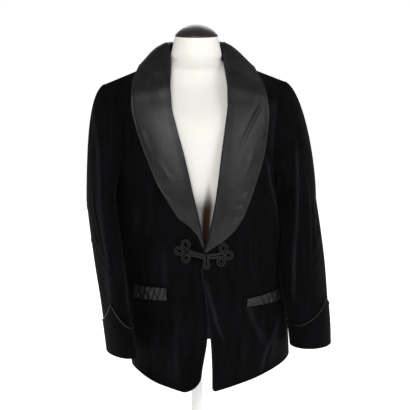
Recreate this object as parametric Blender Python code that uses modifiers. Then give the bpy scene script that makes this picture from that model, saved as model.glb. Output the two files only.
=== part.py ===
"""Velvet smoking jacket with a satin shawl collar, on a limbless dress form with a low stand.

Metres, +Z up. The front of the jacket faces -Y, and the wearer's left is +X.
The origin is the centre of the stand's underside. Heights in the tables are above
the lowest point of the front hem, and x in the tables grows outwards on both sides.
"""
from math import asin, cos, pi, radians, sin

import bmesh
import bpy
import numpy as np
from mathutils import Vector
from mathutils.bvhtree import BVHTree

# Driving sizes
HEM_Z = 0.22
VELVET_WALL = 0.0020
SATIN_WALL = 0.0016
SEAM_GAP = 0.0004
LAY_GAP = 0.0005
CUFF_WALL = 0.0014
PIPING_RADIUS = 0.0014
FROG_RADIUS = 0.0025
SLEEVE_CLEAR = 0.0045
SLEEVE_CLEAR_STEP = 0.0009
FLAP_GAP = 0.0010
CUFF_GAP = 0.0008
PIPING_GAP = 0.0008
COLLAR_LIP_GAP = 0.0015
COLLAR_LAY_GAP = 0.0020
SHARP_ANGLE = 40

# Grid counts
SKIRT_ROWS = 13
ARMHOLE_ROWS = 9
FRONT_COLUMNS = 14
BACK_COLUMNS = 12
NECK_COLUMNS = 5
CAP_ROWS = 7
ARM_ROWS = 10
FALL_COLUMNS = 8

SIDES = {"left": 1, "right": -1}
SIDE_KEYS = ("h_edge", "x_edge", "y_edge", "h_side", "x_side", "y_front", "y_behind",
             "h_back", "y_back", "turn")
ARMPIT_KEY = 0.460
NECK_KEY = 0.742

# One row for each level of the body, from hem to shoulder: the front edge (h, x, y), the side seam or
# armhole (h, x, y on the front, y on the back), the centre back (h, y) and how far the section turns
SKIRT = {
    "left": (
        (0.000, 0.017, -0.137, 0.050, 0.222, 0.020, 0.020, 0.060, 0.122, 88),
        (0.050, 0.016, -0.141, 0.092, 0.220, 0.020, 0.020, 0.105, 0.121, 88),
        (0.120, 0.012, -0.145, 0.150, 0.216, 0.020, 0.020, 0.160, 0.119, 88),
        (0.220, -0.001, -0.148, 0.235, 0.210, 0.020, 0.020, 0.240, 0.116, 88),
        (0.300, -0.008, -0.149, 0.308, 0.202, 0.018, 0.018, 0.315, 0.112, 88),
        (0.335, 0.0030, -0.148, 0.338, 0.200, 0.016, 0.016, 0.350, 0.111, 88),
        (0.390, 0.016, -0.146, 0.388, 0.197, 0.015, 0.015, 0.400, 0.114, 86),
    ),
    "right": (
        (0.000, 0.012, -0.135, 0.034, 0.152, 0.015, 0.015, 0.060, 0.122, 88),
        (0.050, 0.006, -0.138, 0.080, 0.158, 0.015, 0.015, 0.105, 0.121, 88),
        (0.120, -0.005, -0.140, 0.140, 0.165, 0.015, 0.015, 0.160, 0.119, 88),
        (0.220, -0.006, -0.142, 0.230, 0.174, 0.015, 0.015, 0.240, 0.116, 88),
        (0.300, -0.004, -0.143, 0.305, 0.180, 0.015, 0.015, 0.315, 0.112, 88),
        (0.335, 0.0055, -0.143, 0.335, 0.182, 0.015, 0.015, 0.350, 0.111, 88),
        (0.390, 0.0145, -0.143, 0.385, 0.186, 0.015, 0.015, 0.400, 0.114, 86),
    ),
}
CHEST_EDGE = {
    "left": (0.030, 0.041, 0.054, 0.067, 0.076, 0.078),
    "right": (0.030, 0.044, 0.061, 0.073, 0.077, 0.078),
}
CHEST = (
    (0.460, 0.0, -0.137, 0.452, 0.190, 0.015, 0.015, 0.470, 0.121, 80),
    (0.530, 0.0, -0.121, 0.500, 0.174, -0.048, 0.070, 0.535, 0.125, 60),
    (0.600, 0.0, -0.098, 0.560, 0.171, -0.054, 0.081, 0.600, 0.122, 50),
    (0.665, 0.0, -0.066, 0.622, 0.181, -0.040, 0.070, 0.660, 0.110, 42),
    (0.715, 0.0, -0.026, 0.668, 0.198, -0.010, 0.045, 0.705, 0.094, 28),
    (0.742, 0.0, 0.020, 0.690, 0.208, 0.020, 0.020, 0.728, 0.080, 12),
)
NECK_POINT = (0.078, 0.020, 0.742)
SHOULDER_POINT = (0.208, 0.020, 0.690)
NECK_BACK = (0.080, 0.728)
YOKE_KEY = 0.640
HEM_CROWDING = 1.5
BACK_TURN_LEAST = 45

# Rounding of each front's lower corner
CORNER_RADIUS = {"left": 0.008, "right": 0.036}

# Soft folds of the body: from (x0, h0) to (x1, h1), half width and how far they stand out
FOLD_KEYS = ("x0", "h0", "x1", "h1", "width", "height")
FOLD_MIDDLE = 0.6
FOLD_RAMP = 1.6
FOLD_TOP = 1.25
SEAM_FADE_COLUMNS = 2
FRONT_FOLDS = {
    "left": (
        (0.020, 0.270, 0.046, 0.110, 0.012, 0.0050),
        (0.172, 0.200, 0.150, 0.060, 0.016, 0.0060),
        (0.120, 0.170, 0.105, 0.030, 0.020, -0.0045),
        (0.150, 0.470, 0.185, 0.290, 0.014, 0.0060),
        (0.112, 0.430, 0.150, 0.260, 0.014, -0.0035),
    ),
    "right": (
        (0.110, 0.480, 0.122, 0.280, 0.016, 0.0045),
        (0.146, 0.460, 0.150, 0.280, 0.012, -0.0035),
        (0.060, 0.200, 0.070, 0.030, 0.018, 0.0040),
        (0.118, 0.190, 0.110, 0.040, 0.018, -0.0035),
    ),
}
BACK_FOLDS = (
    (0.060, 0.300, 0.075, 0.060, 0.020, 0.0060),
    (0.030, 0.240, 0.034, 0.060, 0.016, -0.0040),
    (0.120, 0.260, 0.130, 0.060, 0.020, -0.0040),
    (0.130, 0.560, 0.150, 0.420, 0.018, 0.0050),
)

# Sleeve rings below the armpit: height, inner and outer x, middle y, half depth and lean of the ring
SLEEVE_KEYS = ("h", "x_in", "x_out", "y_mid", "half_depth", "lean")
SLEEVE_RINGS = {
    "left": (
        (0.420, 0.184, 0.281, 0.002, 0.078, 0.14),
        (0.340, 0.182, 0.291, -0.015, 0.074, 0.22),
        (0.267, 0.184, 0.298, -0.030, 0.070, 0.28),
        (0.195, 0.194, 0.302, -0.042, 0.066, 0.26),
        (0.130, 0.208, 0.306, -0.050, 0.063, 0.16),
        (0.086, 0.213, 0.307, -0.053, 0.062, 0.14),
    ),
    "right": (
        (0.420, 0.189, 0.252, 0.002, 0.076, 0.10),
        (0.345, 0.182, 0.244, -0.020, 0.073, 0.14),
        (0.275, 0.176, 0.235, -0.042, 0.070, 0.18),
        (0.205, 0.169, 0.225, -0.060, 0.066, 0.20),
        (0.140, 0.164, 0.217, -0.068, 0.062, 0.22),
        (0.083, 0.155, 0.211, -0.072, 0.060, 0.22),
    ),
}
CAP_REACH = 0.135
CAP_DROP = 0.24
CAP_SLOPE = 0.45
INNER_COSINE = -0.15
UNDER_SHARE = 0.30

# Soft breaks of the sleeves: height, angle round the sleeve, half length, half angle, depth
BREAK_KEYS = ("h", "angle", "length", "spread", "depth")
SLEEVE_BREAKS = (
    (0.560, 95, 0.050, 24, -0.0050),
    (0.400, 70, 0.110, 16, 0.0050),
    (0.330, 120, 0.060, 24, -0.0040),
    (0.250, 20, 0.070, 22, -0.0030),
    (0.360, 250, 0.080, 26, -0.0050),
    (0.240, 290, 0.060, 22, 0.0040),
)

# Cuffs: angle of the point round the sleeve, height of the point and of the low part above the sleeve's
# end, how far round the point spreads and how hollow its sides are
CUFF_KEYS = ("apex_angle", "point", "low", "spread", "curve")
CUFFS = {
    "left": (20, 0.104, 0.052, 100, 1.5),
    "right": (40, 0.118, 0.064, 100, 2.6),
}
CUFF_ROWS = 4

# Shawl collar: the height of each station on the front edge, and the collar's outer edge there (x, h)
LAPEL_KEYS = ("h_edge", "x_out", "h_out")
LAPELS = {
    "left": (
        (0.333, 0.0120, 0.330),
        (0.345, 0.027, 0.341),
        (0.360, 0.046, 0.355),
        (0.378, 0.067, 0.373),
        (0.405, 0.085, 0.398),
        (0.445, 0.106, 0.442),
        (0.490, 0.127, 0.492),
        (0.540, 0.143, 0.540),
        (0.590, 0.152, 0.584),
        (0.640, 0.157, 0.625),
        (0.685, 0.155, 0.664),
        (0.718, 0.146, 0.698),
        (0.742, 0.136, 0.726),
    ),
    "right": (
        (0.346, 0.0150, 0.347),
        (0.361, 0.0200, 0.366),
        (0.374, 0.034, 0.383),
        (0.390, 0.060, 0.404),
        (0.420, 0.080, 0.436),
        (0.460, 0.102, 0.474),
        (0.500, 0.118, 0.514),
        (0.545, 0.132, 0.553),
        (0.590, 0.144, 0.592),
        (0.640, 0.153, 0.634),
        (0.685, 0.153, 0.668),
        (0.718, 0.146, 0.700),
        (0.742, 0.132, 0.727),
    ),
}
# Behind the shoulder: share of the way from the neck point to the centre back, then how far the fold
# stands above the neckline, and the collar's outer edge (x, y, h)
COLLAR_BACK_KEYS = ("share", "stand", "x_out", "y_out", "h_out")
COLLAR_BACK = (
    (0.25, 0.041, 0.126, 0.046, 0.730),
    (0.50, 0.044, 0.098, 0.078, 0.726),
    (0.75, 0.046, 0.055, 0.098, 0.722),
    (1.00, 0.047, 0.0, 0.106, 0.720),
)
NECK_STAND = 0.040
STAND_LEAN = 0.50
NECK_AXIS_Y = 0.005
NECK_SWELL = 0.007
FRONT_FOLD = 0.0026
ROLL_BULGE = 0.0075
ROLL_WIDTH = 0.080
FOLD_SPREAD = 0.008
STAND_POINTS = 5

# Pocket flaps: inner and outer end on the front (x, h of the top edge), and the drop
FLAP_KEYS = ("x_in", "h_in", "x_out", "h_out", "drop_in", "drop_out")
FLAPS = {
    "left": (0.096, 0.2125, 0.190, 0.224, 0.018, 0.031),
    "right": (0.084, 0.241, 0.150, 0.240, 0.028, 0.033),
}
FLAP_COLUMNS = 14
FLAP_ROWS = 3

# Frogs: junction of the petals (x, h), angles of the three petals, end of the stem (x, h)
FROG_KEYS = ("x", "h", "angles", "stem_x", "stem_h")
FROGS = {
    "left": (0.037, 0.320, (78, -10, -98), 0.0078, 0.317),
    "right": (-0.0425, 0.329, (96, 178, 266), -0.0068, 0.318),
}
PETAL_HALF = 0.0072
PETAL_LONG = 0.0085
PETAL_MIDDLE = 0.0152
PETAL_NECK = 0.40
STEM_HALF = 0.0029
BRIDGE_Y = -0.1495
BRIDGE_HALF = 0.013
LOOP_TOP = (0.0005, 0.323)
LOOP_FOOT = (0.0015, 0.2955)
LOOP_HALF = 0.0040

# Dress form: height, half width, front y, back y and squareness of each ring
FORM_RINGS = (
    (0.150, 0.128, -0.080, 0.078, 2.3),
    (0.200, 0.142, -0.084, 0.086, 2.3),
    (0.300, 0.143, -0.074, 0.082, 2.3),
    (0.360, 0.149, -0.075, 0.085, 2.3),
    (0.400, 0.154, -0.087, 0.088, 2.3),
    (0.440, 0.157, -0.110, 0.091, 2.3),
    (0.500, 0.160, -0.108, 0.094, 2.3),
    (0.560, 0.160, -0.098, 0.094, 2.3),
    (0.620, 0.160, -0.078, 0.088, 2.3),
    (0.660, 0.160, -0.048, 0.080, 2.1),
    (0.690, 0.164, -0.026, 0.068, 1.7),
    (0.707, 0.147, -0.020, 0.063, 1.5),
    (0.722, 0.092, -0.020, 0.060, 1.5),
    (0.738, 0.062, -0.030, 0.056, 1.8),
    (0.756, 0.058, -0.041, 0.053, 2.0),
    (0.776, 0.0535, -0.046, 0.051, 2.0),
    (0.797, 0.0490, -0.046, 0.050, 2.0),
)
FORM_TURNS = 28
CAP_RADIUS = 0.0485
CAP_HEIGHT = 0.0265
CAP_RIM = 0.0025
CAP_CENTRE_Y = 0.002
CAP_STEPS = 9
POLE_RADIUS = 0.0125
BASE_RADIUS = 0.170
BASE_HEIGHT = 0.016
BASE_EDGE = 0.004

# Colour, roughness and metallic value of each material
FINISHES = {
    "velvet": ((0.0045, 0.0045, 0.0060), 0.85, 0.0),
    "satin": ((0.016, 0.016, 0.018), 0.38, 0.0),
    "cord": ((0.008, 0.008, 0.009), 0.60, 0.0),
    "form_cloth": ((0.86, 0.84, 0.79), 0.75, 0.0),
    "cap_wood": ((0.028, 0.022, 0.019), 0.45, 0.0),
    "painted_metal": ((0.85, 0.84, 0.81), 0.40, 0.0),
}


def named(keys, row):
    """One table row as a dictionary of its named columns."""
    return dict(zip(keys, row))


def smooth(table, places):
    """Columns of a table read at places along its first column, on a cubic through the rows."""
    rows = np.array(table, dtype=float)
    key = rows[:, 0]
    slope = np.gradient(rows, key, axis=0)
    values = []
    for place in places:
        i = int(np.clip(np.searchsorted(key, place) - 1, 0, len(key) - 2))
        step = key[i + 1] - key[i]
        u = (place - key[i]) / step
        start = (1 + 2 * u) * (1 - u) ** 2 * rows[i] + u * (1 - u) ** 2 * step * slope[i]
        end = u * u * (3 - 2 * u) * rows[i + 1] + u * u * (u - 1) * step * slope[i + 1]
        values.append(start + end)
    return np.array(values)


def read_at(place, places, points):
    """A point or vector read at a place along a line of them."""
    return np.array([np.interp(place, places, points[:, axis]) for axis in range(3)])


def unit(vectors):
    """Vectors scaled to length one."""
    length = np.linalg.norm(vectors, axis=-1, keepdims=True)
    return vectors / np.maximum(length, 1e-12)


def grid_normals(grid, side, wrap=False):
    """Outward normals of a grid of points, with columns that close on themselves if wrap is set."""
    along = np.gradient(grid, axis=0)
    if wrap:
        across = np.roll(grid, -1, axis=1) - np.roll(grid, 1, axis=1)
    else:
        across = np.gradient(grid, axis=1)
    return unit(np.cross(across, along)) * side


def pull_back(grid, amount, row_ends=(True, True), column_ends=(True, True)):
    """Move the chosen border points of a grid into the sheet, to leave a seam's gap."""
    result = grid.copy()
    for end, chosen in zip((0, -1), row_ends):
        if chosen:
            inward = 1 if end == 0 else -2
            result[end] += unit(grid[inward] - grid[end]) * amount
    for end, chosen in zip((0, -1), column_ends):
        if chosen:
            inward = 1 if end == 0 else -2
            result[:, end] += unit(grid[:, inward] - grid[:, end]) * amount
    return result


def material(name):
    """A Principled material with the finish of that name."""
    made = bpy.data.materials.get(name)
    if made is None:
        colour, roughness, metallic = FINISHES[name]
        made = bpy.data.materials.new(name)
        made.use_nodes = True
        shader = made.node_tree.nodes["Principled BSDF"]
        shader.inputs["Base Color"].default_value = (*colour, 1.0)
        shader.inputs["Roughness"].default_value = roughness
        shader.inputs["Metallic"].default_value = metallic
    return made


def add_object(name, mesh, finish):
    """Put a mesh in the jacket's collection, shaded smooth."""
    node = bpy.data.objects.new(name, mesh)
    bpy.data.collections["velvet_smoking_jacket"].objects.link(node)
    mesh.materials.append(material(finish))
    mesh.shade_smooth()
    mesh.set_sharp_from_angle(angle=radians(SHARP_ANGLE))
    return node


def closed_mesh(name, points, faces):
    """A mesh of points and faces, with its faces turned outwards."""
    mesh = bpy.data.meshes.new(name)
    mesh.from_pydata([tuple(p) for p in points], [], faces)
    form = bmesh.new()
    form.from_mesh(mesh)
    bmesh.ops.recalc_face_normals(form, faces=form.faces)
    form.to_mesh(mesh)
    form.free()
    return mesh


def cells(rows, columns, wrap, start=0):
    """Quads of a grid whose points are numbered row by row from start."""
    last = columns if wrap else columns - 1
    quads = []
    for i in range(rows - 1):
        for j in range(last):
            k = (j + 1) % columns
            quads.append(tuple(start + n for n in (i * columns + j, i * columns + k,
                                                   (i + 1) * columns + k, (i + 1) * columns + j)))
    return quads


def add_wall(name, outer, inner, finish, wrap=False):
    """A wall between an outer and an inner grid of points, closed by rims."""
    rows, columns = outer.shape[:2]
    count = rows * columns
    points = np.concatenate([outer.reshape(-1, 3), inner.reshape(-1, 3)])
    faces = cells(rows, columns, wrap) + [tuple(reversed(q)) for q in cells(rows, columns, wrap, count)]
    last = columns if wrap else columns - 1
    for row in (0, rows - 1):
        for j in range(last):
            a = row * columns + j
            b = row * columns + (j + 1) % columns
            faces.append((a, b, b + count, a + count))
    if not wrap:
        for column in (0, columns - 1):
            for i in range(rows - 1):
                a = i * columns + column
                b = a + columns
                faces.append((a, b, b + count, a + count))
    return add_object(name, closed_mesh(name, points, faces), finish)


def tree_of(*grids):
    """A search tree of the faces of several grids."""
    points, faces = [], []
    for grid in grids:
        faces += cells(grid.shape[0], grid.shape[1], False, len(points))
        points += [Vector(p) for p in grid.reshape(-1, 3)]
    return BVHTree.FromPolygons(points, faces)


def push_out(points, tree, clear):
    """Move points off a surface until they are clear of it, away from the upright axis."""
    moved = points.copy()
    for index in np.ndindex(points.shape[:-1]):
        point = Vector(points[index])
        near, normal, _, _ = tree.find_nearest(point)
        if normal.x * near.x + normal.y * near.y < 0:
            normal = -normal
        short = (clear[index] if np.ndim(clear) else clear) - (point - near).dot(normal)
        if short > 0:
            moved[index] = point + normal * short
    return moved


def add_tube(name, path, radius, finish, sides_resolution=1, cyclic=False):
    """A round cord along a path, with filled ends."""
    curve = bpy.data.curves.new(name, "CURVE")
    curve.dimensions = "3D"
    curve.bevel_depth = radius
    curve.bevel_resolution = sides_resolution
    curve.use_fill_caps = not cyclic
    spline = curve.splines.new("POLY")
    spline.points.add(len(path) - 1)
    spline.use_cyclic_u = cyclic
    for point, place in zip(spline.points, path):
        point.co = (*place, 1.0)
    node = bpy.data.objects.new(name, curve)
    bpy.data.collections["velvet_smoking_jacket"].objects.link(node)
    curve.materials.append(material(finish))
    return node


# Body panels

def section_arc(start, end, turn, shares):
    """Points from a flat start (front or back centre) to an end that has turned to the side."""
    angles = turn * shares
    across = np.sin(angles) / np.sin(turn)
    deep = (1 - np.cos(angles)) / (1 - np.cos(turn))
    share = np.stack([across, deep, across], axis=-1)
    return np.array(start) + (np.array(end) - np.array(start)) * share


def fold_lift(grid, folds, side):
    """How far soft folds lift each point of a body grid."""
    lift = np.zeros(grid.shape[:2])
    across = grid[..., 0] * side
    height = grid[..., 2] - HEM_Z
    for row in folds:
        fold = named(FOLD_KEYS, row)
        start = np.array((fold["x0"], fold["h0"]))
        run = np.array((fold["x1"], fold["h1"])) - start
        length = np.linalg.norm(run)
        offset = np.stack([across, height], axis=-1) - start
        along = offset @ run / length ** 2
        off = np.abs(offset @ np.array((run[1], -run[0]))) / length
        fade = np.clip(FOLD_TOP - np.abs(along - FOLD_MIDDLE) * FOLD_RAMP, 0, 1)
        lift += fold["height"] * np.exp(-(off / fold["width"]) ** 2) * fade * fade * (3 - 2 * fade)
    column = np.arange(grid.shape[1])
    seam = np.minimum(column, column[::-1]) / SEAM_FADE_COLUMNS
    return lift * np.clip(seam, 0, 1)


def body_table(side_name):
    """The body's level table of one side, with its own front edge."""
    chest = [(row[0], x_edge, *row[2:]) for row, x_edge in zip(CHEST, CHEST_EDGE[side_name])]
    return list(SKIRT[side_name]) + chest


def body_keys():
    """Levels of the body's rows, with one row at the armpit."""
    skirt = ARMPIT_KEY * np.linspace(0.0, 1.0, SKIRT_ROWS + 1) ** HEM_CROWDING
    chest = np.linspace(ARMPIT_KEY, NECK_KEY, ARMHOLE_ROWS + 1)
    return np.concatenate([skirt, chest[1:]])


def shoulder_row(shares):
    """Top row of a back: along the shoulder seam to the neck point, then round the neckline."""
    seam_end = 1 - NECK_COLUMNS / BACK_COLUMNS
    row = []
    for share in shares:
        if share <= seam_end:
            part = share / seam_end
            row.append(np.array(SHOULDER_POINT) * (1 - part) + np.array(NECK_POINT) * part)
        else:
            angle = (share - seam_end) / (1 - seam_end) * pi / 2
            x, y, h = NECK_POINT
            y_back, h_back = NECK_BACK
            row.append(np.array((x * cos(angle), y + (y_back - y) * sin(angle),
                                 h + (h_back - h) * (1 - cos(angle)))))
    return np.array(row)


def half_body(side_name):
    """The front from its edge to the side, and the back from the side to its centre, as outer points."""
    side = SIDES[side_name]
    front_shares = np.linspace(0, 1, FRONT_COLUMNS + 1)
    back_shares = np.linspace(1, 0, BACK_COLUMNS + 1)
    top = shoulder_row(1 - back_shares)
    radius = CORNER_RADIUS[side_name]
    front_rows, back_rows = [], []
    for key, values in zip(body_keys(), smooth(body_table(side_name), body_keys())):
        level = named(SIDE_KEYS, values)
        turn = radians(level["turn"])
        if key <= ARMPIT_KEY:
            level["y_front"] = level["y_behind"] = (level["y_front"] + level["y_behind"]) / 2
        below = max(0.0, 1 - key / radius)
        rounding = radius * (1 - np.sqrt(1 - below ** 2))
        edge = (level["x_edge"] + rounding, level["y_edge"], level["h_edge"])
        front_end = (level["x_side"], level["y_front"], level["h_side"])
        back_end = (level["x_side"], level["y_behind"], level["h_side"])
        front = section_arc(edge, front_end, turn, front_shares)
        centre = (0.0, level["y_back"], level["h_back"])
        back = section_arc(centre, back_end, max(turn, radians(BACK_TURN_LEAST)), back_shares)
        blend = np.clip((key - YOKE_KEY) / (NECK_KEY - YOKE_KEY), 0, 1) ** 2
        back = back * (1 - blend) + top * blend
        front_rows.append(front)
        back_rows.append(back)
    panels = []
    for rows, folds in ((front_rows, FRONT_FOLDS[side_name]), (back_rows, BACK_FOLDS)):
        grid = np.array(rows) * (side, 1, 1) + (0, 0, HEM_Z)
        lift = fold_lift(grid, folds, side)
        panels.append(grid + grid_normals(grid, side) * lift[..., None])
    return panels


def panel_normals(front, back, side):
    """Normals of a front and a back, shared at the side seam and mitred at shoulder and centre back."""
    front_normal = grid_normals(front, side)
    back_normal = grid_normals(back, side)
    seam = slice(0, SKIRT_ROWS + 1)
    shared = front_normal[seam, -1] + back_normal[seam, 0]
    front_normal[seam, -1] = shared
    back_normal[seam, 0] = shared
    front_normal[-1, :, 1] = 0
    back_normal[-1, :BACK_COLUMNS - NECK_COLUMNS + 1, 1] = 0
    back_normal[:, -1, 0] = 0
    return unit(front_normal), unit(back_normal)


def add_body(side_name, front, back):
    """The front and the back of one side, with the seams' gaps between them."""
    normals = panel_normals(front, back, SIDES[side_name])
    pieces = (("front", front, normals[0], (False, True)), ("back", back, normals[1], (True, True)))
    for name, grid, normal, ends in pieces:
        outer = pull_back(grid, SEAM_GAP / 2, (False, True), ends)
        add_wall(f"{name}_{side_name}", outer, outer - normal * VELVET_WALL, "velvet")


# Sleeves

def sleeve_ring(values, angles, side):
    """One ring of a sleeve: inner side at 180 degrees, front at 90, outer side at 0."""
    ring = named(SLEEVE_KEYS, values)
    half = (ring["x_out"] - ring["x_in"]) / 2
    middle = (ring["x_out"] + ring["x_in"]) / 2
    y_off = -ring["half_depth"] * np.sin(angles)
    x = middle + half * np.cos(angles) + ring["lean"] * y_off
    return np.stack([side * x, ring["y_mid"] + y_off, np.full_like(x, HEM_Z + ring["h"])], axis=-1)


def sleeve_grid(side_name, front_loop, back_loop, body_tree):
    """A sleeve's outer points, from the armhole over the sleeve head and down to its end."""
    side = SIDES[side_name]
    loop = np.concatenate([front_loop, back_loop[::-1][1:-1]])
    angles = np.concatenate([np.linspace(pi, 0, len(front_loop)), np.linspace(0, -pi, len(back_loop))[1:-1]])
    table = SLEEVE_RINGS[side_name]
    first = sleeve_ring(table[0], angles, side)
    start = loop + np.array((side * LAY_GAP, 0, 0))
    rise = (start[:, 2:] - first[:, 2:]).clip(0.0) / (start[:, 2].max() - first[:, 2].max())
    leave = np.array((side * CAP_REACH, 0.0, -CAP_SLOPE * CAP_REACH)) * rise
    land = np.array((0.0, 0.0, -CAP_DROP)) * rise
    rows = []
    for u in np.linspace(0, 1, CAP_ROWS + 1):
        rows.append((1 + 2 * u) * (1 - u) ** 2 * start + u * (1 - u) ** 2 * leave
                    + u * u * (3 - 2 * u) * first + u * u * (u - 1) * land)
    levels = np.linspace(table[0][0], table[-1][0], ARM_ROWS + 1)[1:]
    rising = sorted(table)
    for values in smooth(rising, levels):
        rows.append(sleeve_ring(values, angles, side))
    grid = np.array(rows)
    grid += grid_normals(grid, -side, True) * break_lift(grid, angles)[..., None]
    clear = np.minimum(LAY_GAP + SLEEVE_CLEAR_STEP * np.arange(len(rows)), SLEEVE_CLEAR)
    clear = np.repeat(clear[:, None], grid.shape[1], axis=1)
    clear[0] = -1.0
    inner = np.cos(angles) < INNER_COSINE
    grid[:, inner] = push_out(grid[:, inner], body_tree, clear[:, inner])
    return grid, angles


def break_lift(grid, angles):
    """How far the soft breaks of a sleeve lift each of its points."""
    lift = np.zeros(grid.shape[:2])
    turn = np.degrees(angles)[None, :]
    height = grid[..., 2] - HEM_Z
    for row in SLEEVE_BREAKS:
        mark = named(BREAK_KEYS, row)
        away = (turn - mark["angle"] + 180) % 360 - 180
        reach = (away / mark["spread"]) ** 2 + ((height - mark["h"]) / mark["length"]) ** 2
        lift += mark["depth"] * np.exp(-reach)
    return lift


def add_sleeve(side_name, grid):
    """The upper and the under piece of a sleeve."""
    side = SIDES[side_name]
    normal = grid_normals(grid, -side, True)
    normal[0, :, 0] = 0
    inner = grid - unit(normal) * VELVET_WALL
    count = grid.shape[1]
    reach = round(count * UNDER_SHARE / 2)
    under = [k % count for k in range(-reach, reach + 1)]
    upper = list(range(reach, count - reach + 1))
    for name, columns in (("under", under), ("upper", upper)):
        out = pull_back(grid[:, columns], SEAM_GAP / 2, (False, False))
        back = pull_back(inner[:, columns], SEAM_GAP / 2, (False, False))
        add_wall(f"sleeve_{side_name}_{name}", out, back, "velvet")


def sleeve_point(grid, column, height):
    """A point of a sleeve's outer face in one of its columns, at a height."""
    line = grid[CAP_ROWS:, column][::-1]
    return read_at(height, line[:, 2], line)


def cuff_top(cuff, angle):
    """Height of a cuff's pointed top edge above the sleeve's end."""
    away = abs((np.degrees(angle) - cuff["apex_angle"] + 180) % 360 - 180)
    rise = max(0.0, 1 - away / cuff["spread"])
    return cuff["low"] + (cuff["point"] - cuff["low"]) * rise ** cuff["curve"]


def add_cuff(side_name, grid, angles):
    """A pointed cuff round the sleeve's end and the piping along its top edge."""
    side = SIDES[side_name]
    cuff = named(CUFF_KEYS, CUFFS[side_name])
    end = SLEEVE_RINGS[side_name][-1][0] + HEM_Z
    rows = []
    for share in np.linspace(1, 0, CUFF_ROWS + 1):
        rows.append([sleeve_point(grid, k, end + cuff_top(cuff, a) * share) for k, a in enumerate(angles)])
    lay = np.array(rows)
    normal = grid_normals(lay, -side, True)
    outer = lay + normal * (CUFF_GAP + CUFF_WALL)
    add_wall(f"cuff_{side_name}", outer, lay + normal * CUFF_GAP, "velvet", wrap=True)
    tangent = unit(np.roll(lay[0], -1, axis=0) - np.roll(lay[0], 1, axis=0))
    upward = np.cross(tangent, normal[0])
    upward *= np.sign(upward[:, 2:])
    path = lay[0] + (normal[0] + upward) * (PIPING_RADIUS + PIPING_GAP)
    add_tube(f"cuff_piping_{side_name}", path, PIPING_RADIUS, "cord", 0, cyclic=True)


# Collar

def stand_ways(point):
    """The way the collar's stand rises, up and in towards the neck, and the way square to it, out."""
    inward = unit(np.array((-point[0], NECK_AXIS_Y - point[1], 0.0)))
    up = np.array((0.0, 0.0, 1.0))
    return unit(inward * STAND_LEAN + up), unit(up * STAND_LEAN - inward)


def collar_stations(side_name, front, back):
    """The collar's stations: edge point, its normal and the way past it, the stand and the outer edge."""
    side = SIDES[side_name]
    front_tree = tree_of(front)
    column, column_normal = front[:, 0], grid_normals(front, side)[:, 0]
    column_past = unit(front[:, 0] - front[:, 1])
    stations = []
    for row in LAPELS[side_name]:
        mark = named(LAPEL_KEYS, row)
        height = mark["h_edge"] + HEM_Z
        share = np.clip((mark["h_edge"] - YOKE_KEY) / (NECK_KEY - YOKE_KEY), 0, 1) ** 2
        point = read_at(height, column[:, 2], column)
        past = unit(read_at(height, column[:, 2], column_past))
        facing = unit(read_at(height, column[:, 2], column_normal))
        rising, outward = stand_ways(point)
        x, z = side * mark["x_out"], mark["h_out"] + HEM_Z
        hit = front_tree.ray_cast(Vector((x, -1.0, z)), Vector((0, 1, 0)))[0]
        if hit is None:
            hit = front_tree.find_nearest(Vector((x, point[1], z)))[0]
        stations.append({"point": point, "past": past, "share": share, "out": np.array((x, hit.y, z)),
                         "facing": facing, "outward": unit(facing * (1 - share) + outward * share),
                         "beyond": unit(past * (1 - share) + rising * share),
                         "fold": FRONT_FOLD + (NECK_STAND - FRONT_FOLD) * share})
    neck = slice(-NECK_COLUMNS - 1, None)
    steps = np.arange(NECK_COLUMNS + 1) / NECK_COLUMNS
    for row in COLLAR_BACK:
        mark = named(COLLAR_BACK_KEYS, row)
        point = read_at(mark["share"], steps, back[-1, neck])
        rising, outward = stand_ways(point)
        stations.append({"point": point, "share": 1.0, "beyond": rising, "outward": outward,
                         "fold": mark["stand"],
                         "past": unit(read_at(mark["share"], steps, unit(back[-1] - back[-2])[neck])),
                         "facing": unit(read_at(mark["share"], steps, grid_normals(back, side)[-1, neck])),
                         "out": np.array((side * mark["x_out"], mark["y_out"], mark["h_out"] + HEM_Z))})
    return stations


def collar_section(station):
    """Points across a collar at one station: up the stand, over the fold and down the fall."""
    point, facing, beyond, outward = (station[key] for key in ("point", "facing", "beyond", "outward"))
    share, fold, out = (station[key] for key in ("share", "fold", "out"))
    before = COLLAR_LIP_GAP + SATIN_WALL
    rise = beyond * (fold - FRONT_FOLD)
    lip = station["past"] * before
    spread = FOLD_SPREAD * min(1.0, (fold - FRONT_FOLD) / NECK_STAND)
    section = [point - facing * VELVET_WALL + lip,
               point - facing * VELVET_WALL * 0.5 + lip + rise * 0.5,
               point + outward * LAY_GAP * 0.5 + lip + rise * 0.95,
               point + outward * (before * 0.9 + spread * 0.5) + lip * 0.4 + rise + beyond * spread * 0.3,
               point + outward * (before + spread) + rise - beyond * spread * 0.3]
    start = section[-1]
    roll = ROLL_BULGE * min(1.0, np.linalg.norm(out - start) / ROLL_WIDTH)
    for b in np.linspace(0, 1, FALL_COLUMNS + 1)[1:]:
        swell = (roll * (1 - share) + NECK_SWELL * share) * 4 * b * (1 - b) ** 2
        section.append(start * (1 - b) + out * b + facing * swell)
    return section


def collar_grid(side_name, front, back):
    """A collar half's outer points, with its fall clear of the body."""
    body_tree = tree_of(front, back)
    rows = np.array([collar_section(station) for station in collar_stations(side_name, front, back)])
    fall = slice(STAND_POINTS, None)
    clear = SATIN_WALL + COLLAR_LAY_GAP
    rows[:, fall] = push_out(rows[:, fall], body_tree, clear)
    dense = []
    for i in range(len(rows) - 1):
        dense += [rows[i], (rows[i] + rows[i + 1]) / 2]
    dense.append(rows[-1])
    dense = np.array(dense)
    dense[:, fall] = push_out(dense[:, fall], body_tree, clear)
    return dense


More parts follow.
